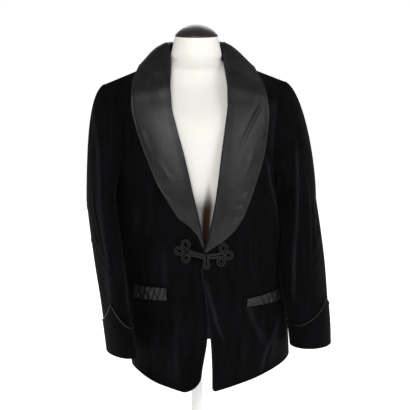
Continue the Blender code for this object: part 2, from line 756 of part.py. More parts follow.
def add_collar(side_name, grid):
    """One half of the shawl collar, mitred at the centre back."""
    normal = grid_normals(grid, SIDES[side_name])
    normal[-1, :, 0] = 0
    normal = unit(normal)
    outer = pull_back(grid, SEAM_GAP / 2, (False, True), (False, False))
    add_wall(f"collar_{side_name}", outer, outer - normal * SATIN_WALL, "satin")


# Pocket flaps

def add_flap(side_name, front):
    """A satin flap that lies on the front, made from the front's own points moved out."""
    side = SIDES[side_name]
    flap = named(FLAP_KEYS, FLAPS[side_name])
    columns = front[:SKIRT_ROWS]
    facing = grid_normals(front, side)[:SKIRT_ROWS]
    rows = []
    for i in range(FLAP_ROWS + 1):
        row = []
        for j in range(FLAP_COLUMNS + 1):
            share = j / FLAP_COLUMNS
            x = flap["x_in"] + (flap["x_out"] - flap["x_in"]) * sin(share * pi / 2)
            drop = flap["drop_in"] + (flap["drop_out"] - flap["drop_in"]) * share
            height = HEM_Z + flap["h_in"] + (flap["h_out"] - flap["h_in"]) * share - drop * i / FLAP_ROWS
            level = np.array([[np.interp(height, columns[:, c, 2], columns[:, c, a]) for a in range(3)]
                              for c in range(FRONT_COLUMNS + 1)])
            turned = np.array([[np.interp(height, columns[:, c, 2], facing[:, c, a]) for a in range(3)]
                               for c in range(FRONT_COLUMNS + 1)])
            place = np.array([np.interp(x, level[:, 0] * side, level[:, a]) for a in range(3)])
            out = unit(np.array([np.interp(x, level[:, 0] * side, turned[:, a]) for a in range(3)]))
            row.append(place + out * (FLAP_GAP + SATIN_WALL))
        rows.append(row)
    outer = np.array(rows)
    inner = outer - grid_normals(outer, -side) * SATIN_WALL
    add_wall(f"pocket_flap_{side_name}", outer, inner, "satin")


# Frog closure

def petal_points(angle, sense):
    """A petal of cord that leaves the junction, rounds its tip and comes back beside itself."""
    a = radians(angle)
    places = []
    for turn in np.linspace(-pi + PETAL_NECK, pi - PETAL_NECK, 11):
        x = PETAL_MIDDLE + PETAL_LONG * cos(turn)
        y = PETAL_HALF * sin(turn) * sense
        places.append((x * cos(a) - y * sin(a), x * sin(a) + y * cos(a)))
    return places


def lay_on_front(places, trees, lift):
    """Points of a path laid on what is foremost at each place, moved out."""
    path = []
    for x, h in places:
        origin = Vector((x, -1.0, HEM_Z + h))
        hits = [tree.ray_cast(origin, Vector((0, 1, 0)))[0] for tree in trees]
        floor = [BRIDGE_Y] if abs(x) < BRIDGE_HALF else []
        path.append((x, min(floor + [hit.y for hit in hits if hit]) - lift, HEM_Z + h))
    path = np.array(path)
    for _ in range(3):
        middle = (path[:-2, 1] + path[2:, 1]) / 2
        path[1:-1, 1] = np.minimum(path[1:-1, 1], middle)
    return path


def add_frogs(trees):
    """The corded trefoils of both fronts, and the loop that fastens them."""
    lift = FROG_RADIUS + LAY_GAP
    for side_name, row in FROGS.items():
        frog = named(FROG_KEYS, row)
        sense = 1 if frog["angles"][0] < frog["angles"][-1] else -1
        places = [(frog["stem_x"], frog["stem_h"] + STEM_HALF)]
        for angle in frog["angles"]:
            places += [(frog["x"] + x, frog["h"] + h) for x, h in petal_points(angle, sense)]
        places.append((frog["stem_x"], frog["stem_h"] - STEM_HALF))
        add_tube(f"frog_{side_name}", lay_on_front(places, trees, lift), FROG_RADIUS, "cord", 1)
    top, foot = np.array(LOOP_TOP), np.array(LOOP_FOOT)
    places = [top + (foot - top) * share + (LOOP_HALF, 0) for share in np.linspace(0, 1, 5)]
    places += [foot + (LOOP_HALF * cos(a), -LOOP_HALF * sin(a)) for a in np.linspace(0, pi, 7)[1:-1]]
    places += [top + (foot - top) * share - (LOOP_HALF, 0) for share in np.linspace(1, 0, 5)]
    add_tube("frog_loop", lay_on_front(places, trees, lift), FROG_RADIUS, "cord", 1)


# Dress form and stand

def add_form():
    """The limbless torso, its neck cap, the pole and the base."""
    heights = [ring[0] for ring in FORM_RINGS]
    rows = 2 * len(heights) - 1
    levels = np.interp(np.arange(rows) / 2, np.arange(len(heights)), heights)
    angles = np.linspace(0, 2 * pi, FORM_TURNS, endpoint=False)
    points = []
    for h, half, front, back, square in smooth(FORM_RINGS, levels):
        power = 2 / square
        middle, deep = (front + back) / 2, (back - front) / 2
        for a in angles:
            x = half * np.sign(cos(a)) * abs(cos(a)) ** power
            y = middle + deep * np.sign(sin(a)) * abs(sin(a)) ** power
            points.append((x, y, HEM_Z + h))
    faces = cells(rows, FORM_TURNS, True)
    faces.append(tuple(range(FORM_TURNS)))
    faces.append(tuple(range((rows - 1) * FORM_TURNS, rows * FORM_TURNS)))
    add_object("form_torso", closed_mesh("form_torso", points, faces), "form_cloth")
    top = HEM_Z + FORM_RINGS[-1][0] + SEAM_GAP
    add_cap(top)
    bottom = HEM_Z + FORM_RINGS[0][0] - SEAM_GAP
    add_post("stand_pole", POLE_RADIUS, BASE_HEIGHT + SEAM_GAP, bottom, 20, 0.0)
    add_post("stand_base", BASE_RADIUS, 0.0, BASE_HEIGHT, 48, BASE_EDGE)


def add_cap(bottom):
    """The domed neck cap, a turned profile."""
    profile = []
    dome = CAP_HEIGHT - CAP_RIM
    ball = (CAP_RADIUS ** 2 + dome ** 2) / (2 * dome)
    for angle in np.linspace(0, 1, CAP_STEPS) * asin(CAP_RADIUS / ball):
        profile.append((ball * sin(angle), bottom + CAP_HEIGHT - ball * (1 - cos(angle))))
    profile.append((CAP_RADIUS, bottom))
    profile.append((0.0, bottom))
    mesh = bpy.data.meshes.new("form_neck_cap")
    edges = [(i, i + 1) for i in range(len(profile) - 1)]
    mesh.from_pydata([(r, 0, z) for r, z in profile], edges, [])
    node = add_object("form_neck_cap", mesh, "cap_wood")
    node.location.y = CAP_CENTRE_Y
    turn = node.modifiers.new("turn", "SCREW")
    turn.steps = 32
    turn.render_steps = 32
    turn.use_merge_vertices = True
    turn.merge_threshold = 0.00005
    return node


def add_post(name, radius, bottom, top, turns, edge):
    """A round post or plate, with its upper and lower edges eased."""
    form = bmesh.new()
    bmesh.ops.create_cone(form, cap_ends=True, segments=turns,
                          radius1=radius, radius2=radius, depth=top - bottom)
    bmesh.ops.translate(form, verts=form.verts, vec=(0, 0, (top + bottom) / 2))
    mesh = bpy.data.meshes.new(name)
    form.to_mesh(mesh)
    form.free()
    node = add_object(name, mesh, "painted_metal")
    if edge:
        bevel = node.modifiers.new("edge", "BEVEL")
        bevel.width = edge
        bevel.segments = 2
        bevel.angle_limit = radians(60)


def build():
    """Model the jacket, its form and the stand."""
    for old in list(bpy.data.objects):
        bpy.data.objects.remove(old, do_unlink=True)
    collection = bpy.data.collections.new("velvet_smoking_jacket")
    bpy.context.scene.collection.children.link(collection)
    bodies = {name: half_body(name) for name in SIDES}
    body_tree = tree_of(*bodies["left"], *bodies["right"])
    trees = [body_tree]
    for name in SIDES:
        front, back = bodies[name]
        add_body(name, front, back)
        sleeve, angles = sleeve_grid(name, front[SKIRT_ROWS:, -1], back[SKIRT_ROWS:, 0], body_tree)
        add_sleeve(name, sleeve)
        add_cuff(name, sleeve, angles)
        collar = collar_grid(name, front, back)
        add_collar(name, collar)
        trees.append(tree_of(collar))
        add_flap(name, front)
    add_frogs(trees)
    add_form()


build()
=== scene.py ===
"""Looks of the velvet smoking jacket on its dress form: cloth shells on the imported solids' form, with
their creases, seams, cords and finishes, plus the camera, the floor and the light.

Metres, +Z up. The front of the jacket faces -Y, and the wearer's left is +X. Heights in the tables are
above the lowest point of the front hem, and x in the tables grows outwards on both sides.
"""

from math import asin, atan, cos, pi, radians, sin

import bmesh
import bpy
import numpy as np
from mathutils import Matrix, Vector
from mathutils.bvhtree import BVHTree


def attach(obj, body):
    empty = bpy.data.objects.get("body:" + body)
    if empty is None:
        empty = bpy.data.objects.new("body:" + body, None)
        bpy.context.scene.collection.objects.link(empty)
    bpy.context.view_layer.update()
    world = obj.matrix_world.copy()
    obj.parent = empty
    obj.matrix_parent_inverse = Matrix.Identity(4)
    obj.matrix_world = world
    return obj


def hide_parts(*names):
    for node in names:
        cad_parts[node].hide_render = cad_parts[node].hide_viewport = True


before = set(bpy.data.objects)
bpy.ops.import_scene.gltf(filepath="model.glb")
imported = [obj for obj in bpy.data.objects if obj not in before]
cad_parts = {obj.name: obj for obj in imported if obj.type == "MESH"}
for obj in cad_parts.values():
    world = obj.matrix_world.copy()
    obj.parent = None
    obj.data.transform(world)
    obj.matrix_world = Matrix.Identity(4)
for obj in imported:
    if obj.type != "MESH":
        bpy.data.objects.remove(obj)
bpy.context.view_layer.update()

# Grid counts, FINER times those of the solids
FINER = 6
SKIRT_ROWS = 13 * FINER
ARMHOLE_ROWS = 9 * FINER
FRONT_COLUMNS = 14 * FINER
BACK_COLUMNS = 12 * FINER
NECK_COLUMNS = 5 * FINER
CAP_ROWS = 7 * FINER
ARM_ROWS = 10 * FINER

# Driving sizes
HEM_Z = 0.22
VELVET_WALL = 0.0020
SATIN_WALL = 0.0016
SEAM_GAP = 0.0001
LAY_GAP = 0.0005
CUFF_WALL = 0.0014
PIPING_RADIUS = 0.0014
FROG_RADIUS = 0.0025
SLEEVE_CLEAR = 0.0045
SLEEVE_CLEAR_STEP = 0.0009 / FINER
FLAP_GAP = 0.0010
CUFF_GAP = 0.0008
PIPING_GAP = 0.0008
COLLAR_LIP_GAP = 0.0015
COLLAR_LAY_GAP = 0.0020
SHARP_ANGLE = 40

# Points nearer than WELD are joined, FAR is beyond any border, and rays start in front of the part
WELD = 1e-5
FAR = 1.0
RAY_START_Y = -1.0
FORWARD = (0.0, -1.0, 0.0)

SIDES = {"left": 1, "right": -1}
SIDE_KEYS = ("h_edge", "x_edge", "y_edge", "h_side", "x_side", "y_front", "y_behind",
             "h_back", "y_back", "turn")
ARMPIT_KEY = 0.460
NECK_KEY = 0.742

# One row for each level of the body, from hem to shoulder: the front edge (h, x, y), the side seam or
# armhole (h, x, y on the front, y on the back), the centre back (h, y) and how far the section turns
SKIRT = {
    "left": (
        (0.000, 0.017, -0.137, 0.050, 0.222, 0.020, 0.020, 0.060, 0.122, 88),
        (0.050, 0.016, -0.141, 0.092, 0.220, 0.020, 0.020, 0.105, 0.121, 88),
        (0.120, 0.012, -0.145, 0.150, 0.216, 0.020, 0.020, 0.160, 0.119, 88),
        (0.220, -0.001, -0.148, 0.235, 0.210, 0.020, 0.020, 0.240, 0.116, 88),
        (0.300, -0.008, -0.149, 0.308, 0.202, 0.018, 0.018, 0.315, 0.112, 88),
        (0.335, 0.0030, -0.148, 0.338, 0.200, 0.016, 0.016, 0.350, 0.111, 88),
        (0.390, 0.016, -0.146, 0.388, 0.197, 0.015, 0.015, 0.400, 0.114, 86),
    ),
    "right": (
        (0.000, 0.012, -0.135, 0.034, 0.152, 0.015, 0.015, 0.060, 0.122, 88),
        (0.050, 0.006, -0.138, 0.080, 0.158, 0.015, 0.015, 0.105, 0.121, 88),
        (0.120, -0.005, -0.140, 0.140, 0.165, 0.015, 0.015, 0.160, 0.119, 88),
        (0.220, -0.006, -0.142, 0.230, 0.174, 0.015, 0.015, 0.240, 0.116, 88),
        (0.300, -0.004, -0.143, 0.305, 0.180, 0.015, 0.015, 0.315, 0.112, 88),
        (0.335, 0.0055, -0.143, 0.335, 0.182, 0.015, 0.015, 0.350, 0.111, 88),
        (0.390, 0.0145, -0.143, 0.385, 0.186, 0.015, 0.015, 0.400, 0.114, 86),
    ),
}
CHEST_EDGE = {
    "left": (0.030, 0.041, 0.054, 0.067, 0.076, 0.078),
    "right": (0.030, 0.044, 0.061, 0.073, 0.077, 0.078),
}
CHEST = (
    (0.460, 0.0, -0.137, 0.452, 0.190, 0.015, 0.015, 0.470, 0.121, 80),
    (0.530, 0.0, -0.121, 0.500, 0.174, -0.048, 0.070, 0.535, 0.125, 60),
    (0.600, 0.0, -0.098, 0.560, 0.171, -0.054, 0.081, 0.600, 0.122, 50),
    (0.665, 0.0, -0.066, 0.622, 0.181, -0.040, 0.070, 0.660, 0.110, 42),
    (0.715, 0.0, -0.026, 0.668, 0.198, -0.010, 0.045, 0.705, 0.094, 28),
    (0.742, 0.0, 0.020, 0.690, 0.208, 0.020, 0.020, 0.728, 0.080, 12),
)
NECK_POINT = (0.078, 0.020, 0.742)
SHOULDER_POINT = (0.208, 0.020, 0.690)
NECK_BACK = (0.080, 0.728)
YOKE_KEY = 0.640
HEM_CROWDING = 1.5
BACK_TURN_LEAST = 45

# Rounding of each front's lower corner
CORNER_RADIUS = {"left": 0.008, "right": 0.036}

# Soft folds of the body: from (x0, h0) to (x1, h1), half width and how far they stand out
FOLD_KEYS = ("x0", "h0", "x1", "h1", "width", "height")
FOLD_MIDDLE = 0.6
FOLD_RAMP = 1.6
FOLD_TOP = 1.25
SEAM_FADE_SHARE = 0.15
FRONT_FOLDS = {
    "left": (
        (0.020, 0.270, 0.046, 0.110, 0.012, 0.0050),
        (0.172, 0.200, 0.150, 0.060, 0.016, 0.0060),
        (0.120, 0.170, 0.105, 0.030, 0.020, -0.0045),
        (0.150, 0.470, 0.185, 0.290, 0.014, 0.0060),
        (0.112, 0.430, 0.150, 0.260, 0.014, -0.0035),
    ),
    "right": (
        (0.110, 0.480, 0.122, 0.280, 0.016, 0.0045),
        (0.146, 0.460, 0.150, 0.280, 0.012, -0.0035),
        (0.060, 0.200, 0.070, 0.030, 0.018, 0.0040),
        (0.118, 0.190, 0.110, 0.040, 0.018, -0.0035),
    ),
}
BACK_FOLDS = (
    (0.060, 0.300, 0.075, 0.060, 0.020, 0.0060),
    (0.030, 0.240, 0.034, 0.060, 0.016, -0.0040),
    (0.120, 0.260, 0.130, 0.060, 0.020, -0.0040),
    (0.130, 0.560, 0.150, 0.420, 0.018, 0.0050),
)

# Sleeve rings below the armpit: height, inner and outer x, middle y, half depth and lean of the ring
SLEEVE_KEYS = ("h", "x_in", "x_out", "y_mid", "half_depth", "lean")
SLEEVE_RINGS = {
    "left": (
        (0.420, 0.184, 0.281, 0.002, 0.078, 0.14),
        (0.340, 0.182, 0.291, -0.015, 0.074, 0.22),
        (0.267, 0.184, 0.298, -0.030, 0.070, 0.28),
        (0.195, 0.194, 0.302, -0.042, 0.066, 0.26),
        (0.130, 0.208, 0.306, -0.050, 0.063, 0.16),
        (0.086, 0.213, 0.307, -0.053, 0.062, 0.14),
    ),
    "right": (
        (0.420, 0.189, 0.252, 0.002, 0.076, 0.10),
        (0.345, 0.182, 0.244, -0.020, 0.073, 0.14),
        (0.275, 0.176, 0.235, -0.042, 0.070, 0.18),
        (0.205, 0.169, 0.225, -0.060, 0.066, 0.20),
        (0.140, 0.164, 0.217, -0.068, 0.062, 0.22),
        (0.083, 0.155, 0.211, -0.072, 0.060, 0.22),
    ),
}
CAP_REACH = 0.135
CAP_DROP = 0.24
CAP_SLOPE = 0.45
INNER_COSINE = -0.15
LEFT_AS_IT_IS = -1.0
UNDER_SHARE = 0.30

# Soft breaks of the sleeves: height, angle round the sleeve, half length, half angle, depth
BREAK_KEYS = ("h", "angle", "length", "spread", "depth")
SLEEVE_BREAKS = (
    (0.560, 95, 0.050, 24, -0.0050),
    (0.400, 70, 0.110, 16, 0.0050),
    (0.330, 120, 0.060, 24, -0.0040),
    (0.250, 20, 0.070, 22, -0.0030),
    (0.360, 250, 0.080, 26, -0.0050),
    (0.240, 290, 0.060, 22, 0.0040),
)

# Cuffs: angle of the point round the sleeve, height of the point and of the low part above the sleeve's
# end, how far round the point spreads and how hollow its sides are
CUFF_KEYS = ("apex_angle", "point", "low", "spread", "curve")
CUFFS = {
    "left": (20, 0.104, 0.052, 100, 1.5),
    "right": (40, 0.118, 0.064, 100, 2.6),
}
CUFF_ROWS = 24

# Shawl collar: the height of each station on the front edge, and the collar's outer edge there (x, h)
LAPEL_KEYS = ("h_edge", "x_out", "h_out")
LAPELS = {
    "left": (
        (0.333, 0.0120, 0.330),
        (0.345, 0.027, 0.341),
        (0.360, 0.046, 0.355),
        (0.378, 0.067, 0.373),
        (0.405, 0.085, 0.398),
        (0.445, 0.106, 0.442),
        (0.490, 0.127, 0.492),
        (0.540, 0.143, 0.540),
        (0.590, 0.152, 0.584),
        (0.640, 0.157, 0.625),
        (0.685, 0.155, 0.664),
        (0.718, 0.146, 0.698),
        (0.742, 0.136, 0.726),
    ),
    "right": (
        (0.346, 0.0150, 0.347),
        (0.361, 0.0200, 0.366),
        (0.374, 0.034, 0.383),
        (0.390, 0.060, 0.404),
        (0.420, 0.080, 0.436),
        (0.460, 0.102, 0.474),
        (0.500, 0.118, 0.514),
        (0.545, 0.132, 0.553),
        (0.590, 0.144, 0.592),
        (0.640, 0.153, 0.634),
        (0.685, 0.153, 0.668),
        (0.718, 0.146, 0.700),
        (0.742, 0.132, 0.727),
    ),
}
# Behind the shoulder: share of the way from the neck point to the centre back, then how far the fold
# stands above the neckline, and the collar's outer edge (x, y, h)
COLLAR_BACK_KEYS = ("share", "stand", "x_out", "y_out", "h_out")
COLLAR_BACK = (
    (0.25, 0.041, 0.126, 0.046, 0.730),
    (0.50, 0.044, 0.098, 0.078, 0.726),
    (0.75, 0.046, 0.055, 0.098, 0.722),
    (1.00, 0.047, 0.0, 0.106, 0.720),
)
NECK_STAND = 0.040
STAND_LEAN = 0.50
NECK_AXIS_Y = 0.005
NECK_SWELL = 0.007
FRONT_FOLD = 0.0026
ROLL_BULGE = 0.0075
ROLL_WIDTH = 0.080
FOLD_SPREAD = 0.008

# The collar's section: its points up the stand and down the fall, and shares of the stand's rise, the
# fold's spread, the wall and the lip near the crest of the fold
STAND_POINTS = 5
FALL_COLUMNS = 8
STAND_NEARLY_UP = 0.95
CREST_RISE = 0.3
CREST_OUT = 0.9
CREST_LIP = 0.4

# Pocket flaps: inner and outer end on the front (x, h of the top edge), and the drop at each end
FLAP_KEYS = ("x_in", "h_in", "x_out", "h_out", "drop_in", "drop_out")
FLAPS = {
    "left": (0.096, 0.2125, 0.190, 0.224, 0.018, 0.031),
    "right": (0.084, 0.241, 0.150, 0.240, 0.028, 0.033),
}
FLAP_COLUMNS = 96
FLAP_ROWS = 20

# Frogs: junction of the petals (x, h), angles of the three petals, end of the stem (x, h)
FROG_KEYS = ("x", "h", "angles", "stem_x", "stem_h")
FROGS = {
    "left": (0.037, 0.320, (78, -10, -98), 0.0078, 0.317),
    "right": (-0.0425, 0.329, (96, 178, 266), -0.0068, 0.318),
}
PETAL_HALF = 0.0072
PETAL_LONG = 0.0085
PETAL_MIDDLE = 0.0152
PETAL_NECK = 0.40
PETAL_STEPS = 11
STEM_HALF = 0.0029
BRIDGE_Y = -0.1495
BRIDGE_HALF = 0.013
LEVEL_PASSES = 3
LOOP_TOP = (0.0005, 0.323)
LOOP_FOOT = (0.0015, 0.2955)
LOOP_HALF = 0.0040
LOOP_SIDE_STEPS = 5
LOOP_END_STEPS = 7

# Dress form: height, half width, front y, back y and squareness of each ring
FORM_RINGS = (
    (0.150, 0.128, -0.080, 0.078, 2.3),
    (0.200, 0.142, -0.084, 0.086, 2.3),
    (0.300, 0.143, -0.074, 0.082, 2.3),
    (0.360, 0.149, -0.075, 0.085, 2.3),
    (0.400, 0.154, -0.087, 0.088, 2.3),
    (0.440, 0.157, -0.110, 0.091, 2.3),
    (0.500, 0.160, -0.108, 0.094, 2.3),
    (0.560, 0.160, -0.098, 0.094, 2.3),
    (0.620, 0.160, -0.078, 0.088, 2.3),
    (0.660, 0.160, -0.048, 0.080, 2.1),
    (0.690, 0.164, -0.026, 0.068, 1.7),
    (0.707, 0.147, -0.020, 0.063, 1.5),
    (0.722, 0.092, -0.020, 0.060, 1.5),
    (0.738, 0.062, -0.030, 0.056, 1.8),
    (0.756, 0.058, -0.041, 0.053, 2.0),
    (0.776, 0.0535, -0.046, 0.051, 2.0),
    (0.797, 0.0490, -0.046, 0.050, 2.0),
)
FORM_TURNS = 96
CAP_RADIUS = 0.0485
CAP_HEIGHT = 0.0265
CAP_RIM = 0.0025
CAP_CENTRE_Y = 0.002
CAP_STEPS = 18
CAP_RIM_LOW = 0.3
CAP_FOOT = 0.99

# Grid counts of the finer pieces
COLLAR_LONG = 150
COLLAR_STAND = 14
COLLAR_FALL = 60
FORM_ROWS = 90
CAP_TURNS = 72

# Creases of the shells: from (u0, v0) to (u1, v1), how far they bow aside, half width and height.
# On the body u is x and v the height; on the sleeves u is the angle in radians times SLEEVE_ARM
CREASE_KEYS = ("u0", "v0", "u1", "v1", "bow", "width", "height")
CREASE_TAPER = 0.35
CREASE_UNEVEN = 0.3
CREASE_BEAT = 7.0
CREASE_PHASE = 40.0
TROUGH_PLACE = 1.7
TROUGH_WIDTH = 1.3
TROUGH_SHARE = 0.45
SLEEVE_ARM = 0.062
FRONT_CREASES = {
    "left": (
        (0.100, 0.400, 0.108, 0.235, 0.004, 0.0051, 0.0037),
        (0.128, 0.390, 0.140, 0.250, -0.003, 0.0047, 0.0034),
        (0.075, 0.330, 0.082, 0.190, 0.003, 0.0059, 0.0027),
        (0.140, 0.190, 0.118, 0.050, 0.004, 0.0055, 0.0041),
        (0.085, 0.200, 0.078, 0.030, -0.003, 0.0059, 0.0034),
        (0.060, 0.180, 0.050, 0.020, 0.002, 0.0051, 0.0027),
        (0.166, 0.150, 0.156, 0.070, 0.003, 0.0043, 0.0044),
        (0.164, 0.540, 0.146, 0.430, 0.004, 0.0051, 0.0044),
        (0.176, 0.640, 0.158, 0.560, -0.002, 0.0051, 0.0034),
    ),
    "right": (
        (0.120, 0.455, 0.128, 0.270, 0.003, 0.0051, 0.0034),
        (0.098, 0.420, 0.094, 0.280, -0.003, 0.0051, 0.0027),
        (0.070, 0.300, 0.074, 0.160, 0.002, 0.0059, 0.0024),
        (0.072, 0.170, 0.078, 0.020, 0.003, 0.0047, 0.0034),
        (0.118, 0.180, 0.106, 0.040, -0.002, 0.0051, 0.0031),
        (0.040, 0.200, 0.038, 0.060, 0.002, 0.0059, 0.0024),
        (0.162, 0.560, 0.140, 0.450, 0.003, 0.0051, 0.0041),
        (0.172, 0.640, 0.156, 0.570, -0.002, 0.0051, 0.0031),
    ),
}
BACK_CREASES = {
    "left": (
        (0.055, 0.330, 0.085, 0.120, 0.004, 0.0070, 0.0022),
        (0.110, 0.300, 0.104, 0.090, -0.003, 0.0065, 0.0020),
        (0.150, 0.560, 0.128, 0.440, 0.003, 0.0060, 0.0024),
        (0.090, 0.430, 0.030, 0.400, 0.003, 0.0070, 0.0016),
        (0.160, 0.420, 0.172, 0.240, 0.003, 0.0060, 0.0020),
    ),
    "right": (
        (0.045, 0.300, 0.060, 0.110, -0.003, 0.0070, 0.0020),
        (0.095, 0.330, 0.108, 0.150, 0.003, 0.0065, 0.0022),
        (0.146, 0.550, 0.120, 0.450, 0.003, 0.0060, 0.0022),
        (0.080, 0.410, 0.024, 0.392, 0.002, 0.0070, 0.0016),
        (0.140, 0.380, 0.146, 0.200, 0.002, 0.0060, 0.0018),
    ),
}
SLEEVE_CREASES = (
    (0.062, 0.520, 0.075, 0.210, 0.004, 0.0050, 0.0026),
    (0.030, 0.470, 0.046, 0.300, -0.003, 0.0055, 0.0018),
    (0.105, 0.480, 0.096, 0.300, 0.004, 0.0055, 0.0020),
    (0.010, 0.360, 0.060, 0.300, 0.003, 0.0060, 0.0022),
    (0.015, 0.300, 0.070, 0.255, -0.002, 0.0055, 0.0018),
    (-0.060, 0.480, -0.070, 0.300, 0.004, 0.0060, 0.0024),
    (-0.020, 0.420, -0.090, 0.350, 0.003, 0.0060, 0.0022),
    (-0.025, 0.340, -0.080, 0.310, -0.003, 0.0055, 0.0018),
    (0.045, 0.620, 0.070, 0.520, 0.003, 0.0055, 0.0020),
    (-0.040, 0.600, -0.060, 0.500, 0.003, 0.0060, 0.0020),
)
COLLAR_CREASES = {
    "left": (
        (0.146, 0.655, 0.078, 0.548, 0.002, 0.0040, 0.0015),
        (0.120, 0.560, 0.085, 0.470, -0.002, 0.0060, 0.0006),
        (0.104, 0.452, 0.080, 0.440, 0.001, 0.0032, 0.0017),
        (0.092, 0.424, 0.070, 0.416, 0.001, 0.0032, 0.0017),
        (0.080, 0.398, 0.060, 0.394, 0.001, 0.0030, 0.0014),
        (0.050, 0.420, 0.030, 0.370, 0.002, 0.0060, 0.0010),
    ),
    "right": (
        (0.140, 0.610, 0.110, 0.530, -0.003, 0.0055, 0.0005),
        (0.110, 0.540, 0.070, 0.470, 0.002, 0.0060, 0.0004),
        (0.090, 0.455, 0.074, 0.432, 0.001, 0.0035, 0.0010),
        (0.070, 0.425, 0.054, 0.404, 0.001, 0.0035, 0.0010),
    ),
}
COLLAR_FADE = 0.030
CREASE_EDGE = 0.020

# How far the collar's fold is rounded out behind the neck
BACK_ROUND = 0.010

# Lapel feet at the frog: each low row's share of its width, and of the slide in x and height
TIP_ROWS = ((0.30, 1.0), (0.58, 0.6), (0.82, 0.25))
TIP_SLIDE = {"left": (-0.004, 0.0, -0.006), "right": (0.004, 0.0, -0.008)}

# Painted highlights, a lighter colour along fold ridges and the front edge where the velvet's sheen catches
# the light: height and x up each line from its foot, half width and share
HIGHLIGHT_TAPER = 0.030
HIGHLIGHT_EDGE_WIDTH = 0.0026
HIGHLIGHT_EDGE_SHARE = 0.55
HIGHLIGHT_BRUSH = 1.6
# Colour of the painted highlights
PAINTED_HIGHLIGHT_COLOUR = (0.0125, 0.0118, 0.0145)
FRONT_HIGHLIGHTS = {
    "left": (
        (((0.20, 0.197), (0.27, 0.206), (0.34, 0.195), (0.44, 0.169), (0.53, 0.149)), 0.0032, 0.90),
        (((0.02, 0.134), (0.07, 0.141), (0.12, 0.166), (0.165, 0.196)), 0.0045, 0.60),
        (((0.085, 0.150), (0.16, 0.113), (0.22, 0.092)), 0.0070, 0.40),
        (((0.11, 0.046), (0.155, 0.028), (0.21, 0.013), (0.27, -0.002)), 0.0036, 0.80),
        (((0.53, 0.167), (0.61, 0.173), (0.665, 0.171)), 0.0110, 0.35),
    ),
    "right": (
        (((0.225, 0.087), (0.35, 0.089)), 0.0070, 0.28),
        (((0.015, 0.065), (0.21, 0.062)), 0.0070, 0.22),
        (((0.35, 0.147), (0.435, 0.153)), 0.0070, 0.28),
    ),
}
SLEEVE_HIGHLIGHTS = {
    "left": ((((0.195, 0.209), (0.29, 0.212), (0.36, 0.218), (0.44, 0.223), (0.56, 0.224)), 0.0032, 0.70),),
    "right": (
        (((0.185, 0.211), (0.31, 0.219), (0.415, 0.230), (0.545, 0.231), (0.66, 0.242)), 0.0040, 0.55),
        (((0.17, 0.172), (0.275, 0.174), (0.38, 0.183), (0.48, 0.192)), 0.0040, 0.40),
    ),
}

# Sewing: the allowance tucked under the armhole, how far seams draw the cloth in, and the seam along the
# collar's edge
TUCK_GAP = 0.0010
TUCK_REACH = 0.0040
SEAM_DIP = 0.0009
SEAM_SOFT = 0.0035
EDGE_SEAM_PLACE = 0.0045
EDGE_SEAM_WIDTH = 0.0012
EDGE_SEAM_DEPTH = 0.0006

# Cords: the strands of the frogs, their twist, and the steps along and round them and the piping
CORD_LOBES = 3
CORD_PITCH = 0.011
CORD_GROOVE = 0.26
CORD_STEP = 0.0006
CORD_TURNS = 12
PIPING_TURNS = 12
STRAND_RADIUS = 0.0014
STRAND_APART = (0.0013, 0.0022)
STRAND_EASE = 0.018

# Ruffles of the flaps: their beats along the flap, the lean of each and its height
RUFFLES = ((5.3, 0.9, 0.0006), (9.1, -0.7, 0.0005), (14.7, 1.3, 0.0003), (23.9, -0.5, 0.0001))
RUFFLE_FADE = 0.25

# Soft fold down the form's cover at the foot of the V: its x, half width, depth and the heights it fades
# in between, the share of its width over which its edge fades, and the brown painted shade in its depth
COVER_FOLD_X = 0.012
COVER_FOLD_WIDTH = 0.011
COVER_FOLD_DEPTH = 0.010
COVER_FOLD_HEIGHTS = (0.500, 0.405)
COVER_FOLD_SOFT = 0.5
# Painted shade: brown put in the fold's depth where shade falls between the form and the lapels
COVER_FOLD_PAINTED_SHADE = (0.046, 0.018, 0.0055)

# Floor, light and camera
FLOOR_HALF = 30.0
FLOOR_Z = -0.0005
WORLD_STRENGTH = 0.30
FLOOR_GLOW = 0.72
FLOOR_GREY = (0.93, 0.93, 0.93)
FLOOR_ROUGHNESS = 0.9
WHITE = (1.0, 1.0, 1.0, 1.0)
AIM = (0.0, 0.0, 0.65)
LAMP_KEYS = ("place", "size", "watts")
LAMPS = {
    "key": ((-0.9, -2.9, 2.6), 1.5, 80.0),
    "fill": ((2.4, -2.2, 2.0), 1.5, 40.0),
    "back": ((0.5, 2.4, 2.3), 1.8, 30.0),
}
PHOTO_SIDE = 410
PHOTO_FOCAL = 1731
CAMERA_TURN = 8
CAMERA_RISE = 10
CAMERA_DISTANCE = 4.0
CAMERA_AIM = 0.408
CAMERA_ASIDE = 0.0192


def named(keys, row):
    """One table row as a dictionary of its named columns."""
    return dict(zip(keys, row))


def ease(share):
    """A share from 0 to 1 that starts and ends slowly."""
    return share * share * (3 - 2 * share)


def arch(share):
    """A rise from 0 to 1 at the middle of a share's run, and back."""
    return 4 * share * (1 - share)


def hermite(u, start, leave, end, land):
    """A cubic from a start to an end that leaves and lands along given ways."""
    return ((1 + 2 * u) * (1 - u) ** 2 * start + u * (1 - u) ** 2 * leave
            + ease(u) * end + u * u * (u - 1) * land)


def smooth(table, places):
    """Columns of a table read at places along its first column, on a cubic through the rows."""
    rows = np.array(table, dtype=float)
    key = rows[:, 0]
    slope = np.gradient(rows, key, axis=0)
    values = []
    for place in places:
        i = int(np.clip(np.searchsorted(key, place) - 1, 0, len(key) - 2))
        step = key[i + 1] - key[i]
        u = (place - key[i]) / step
        values.append(hermite(u, rows[i], step * slope[i], rows[i + 1], step * slope[i + 1]))
    return np.array(values)


def read_at(place, places, points):
    """A point or vector read at a place along a line of them."""
    return np.array([np.interp(place, places, points[:, axis]) for axis in range(3)])


def unit(vectors):
    """Vectors scaled to length one."""
    length = np.linalg.norm(vectors, axis=-1, keepdims=True)
    return vectors / np.maximum(length, 1e-12)


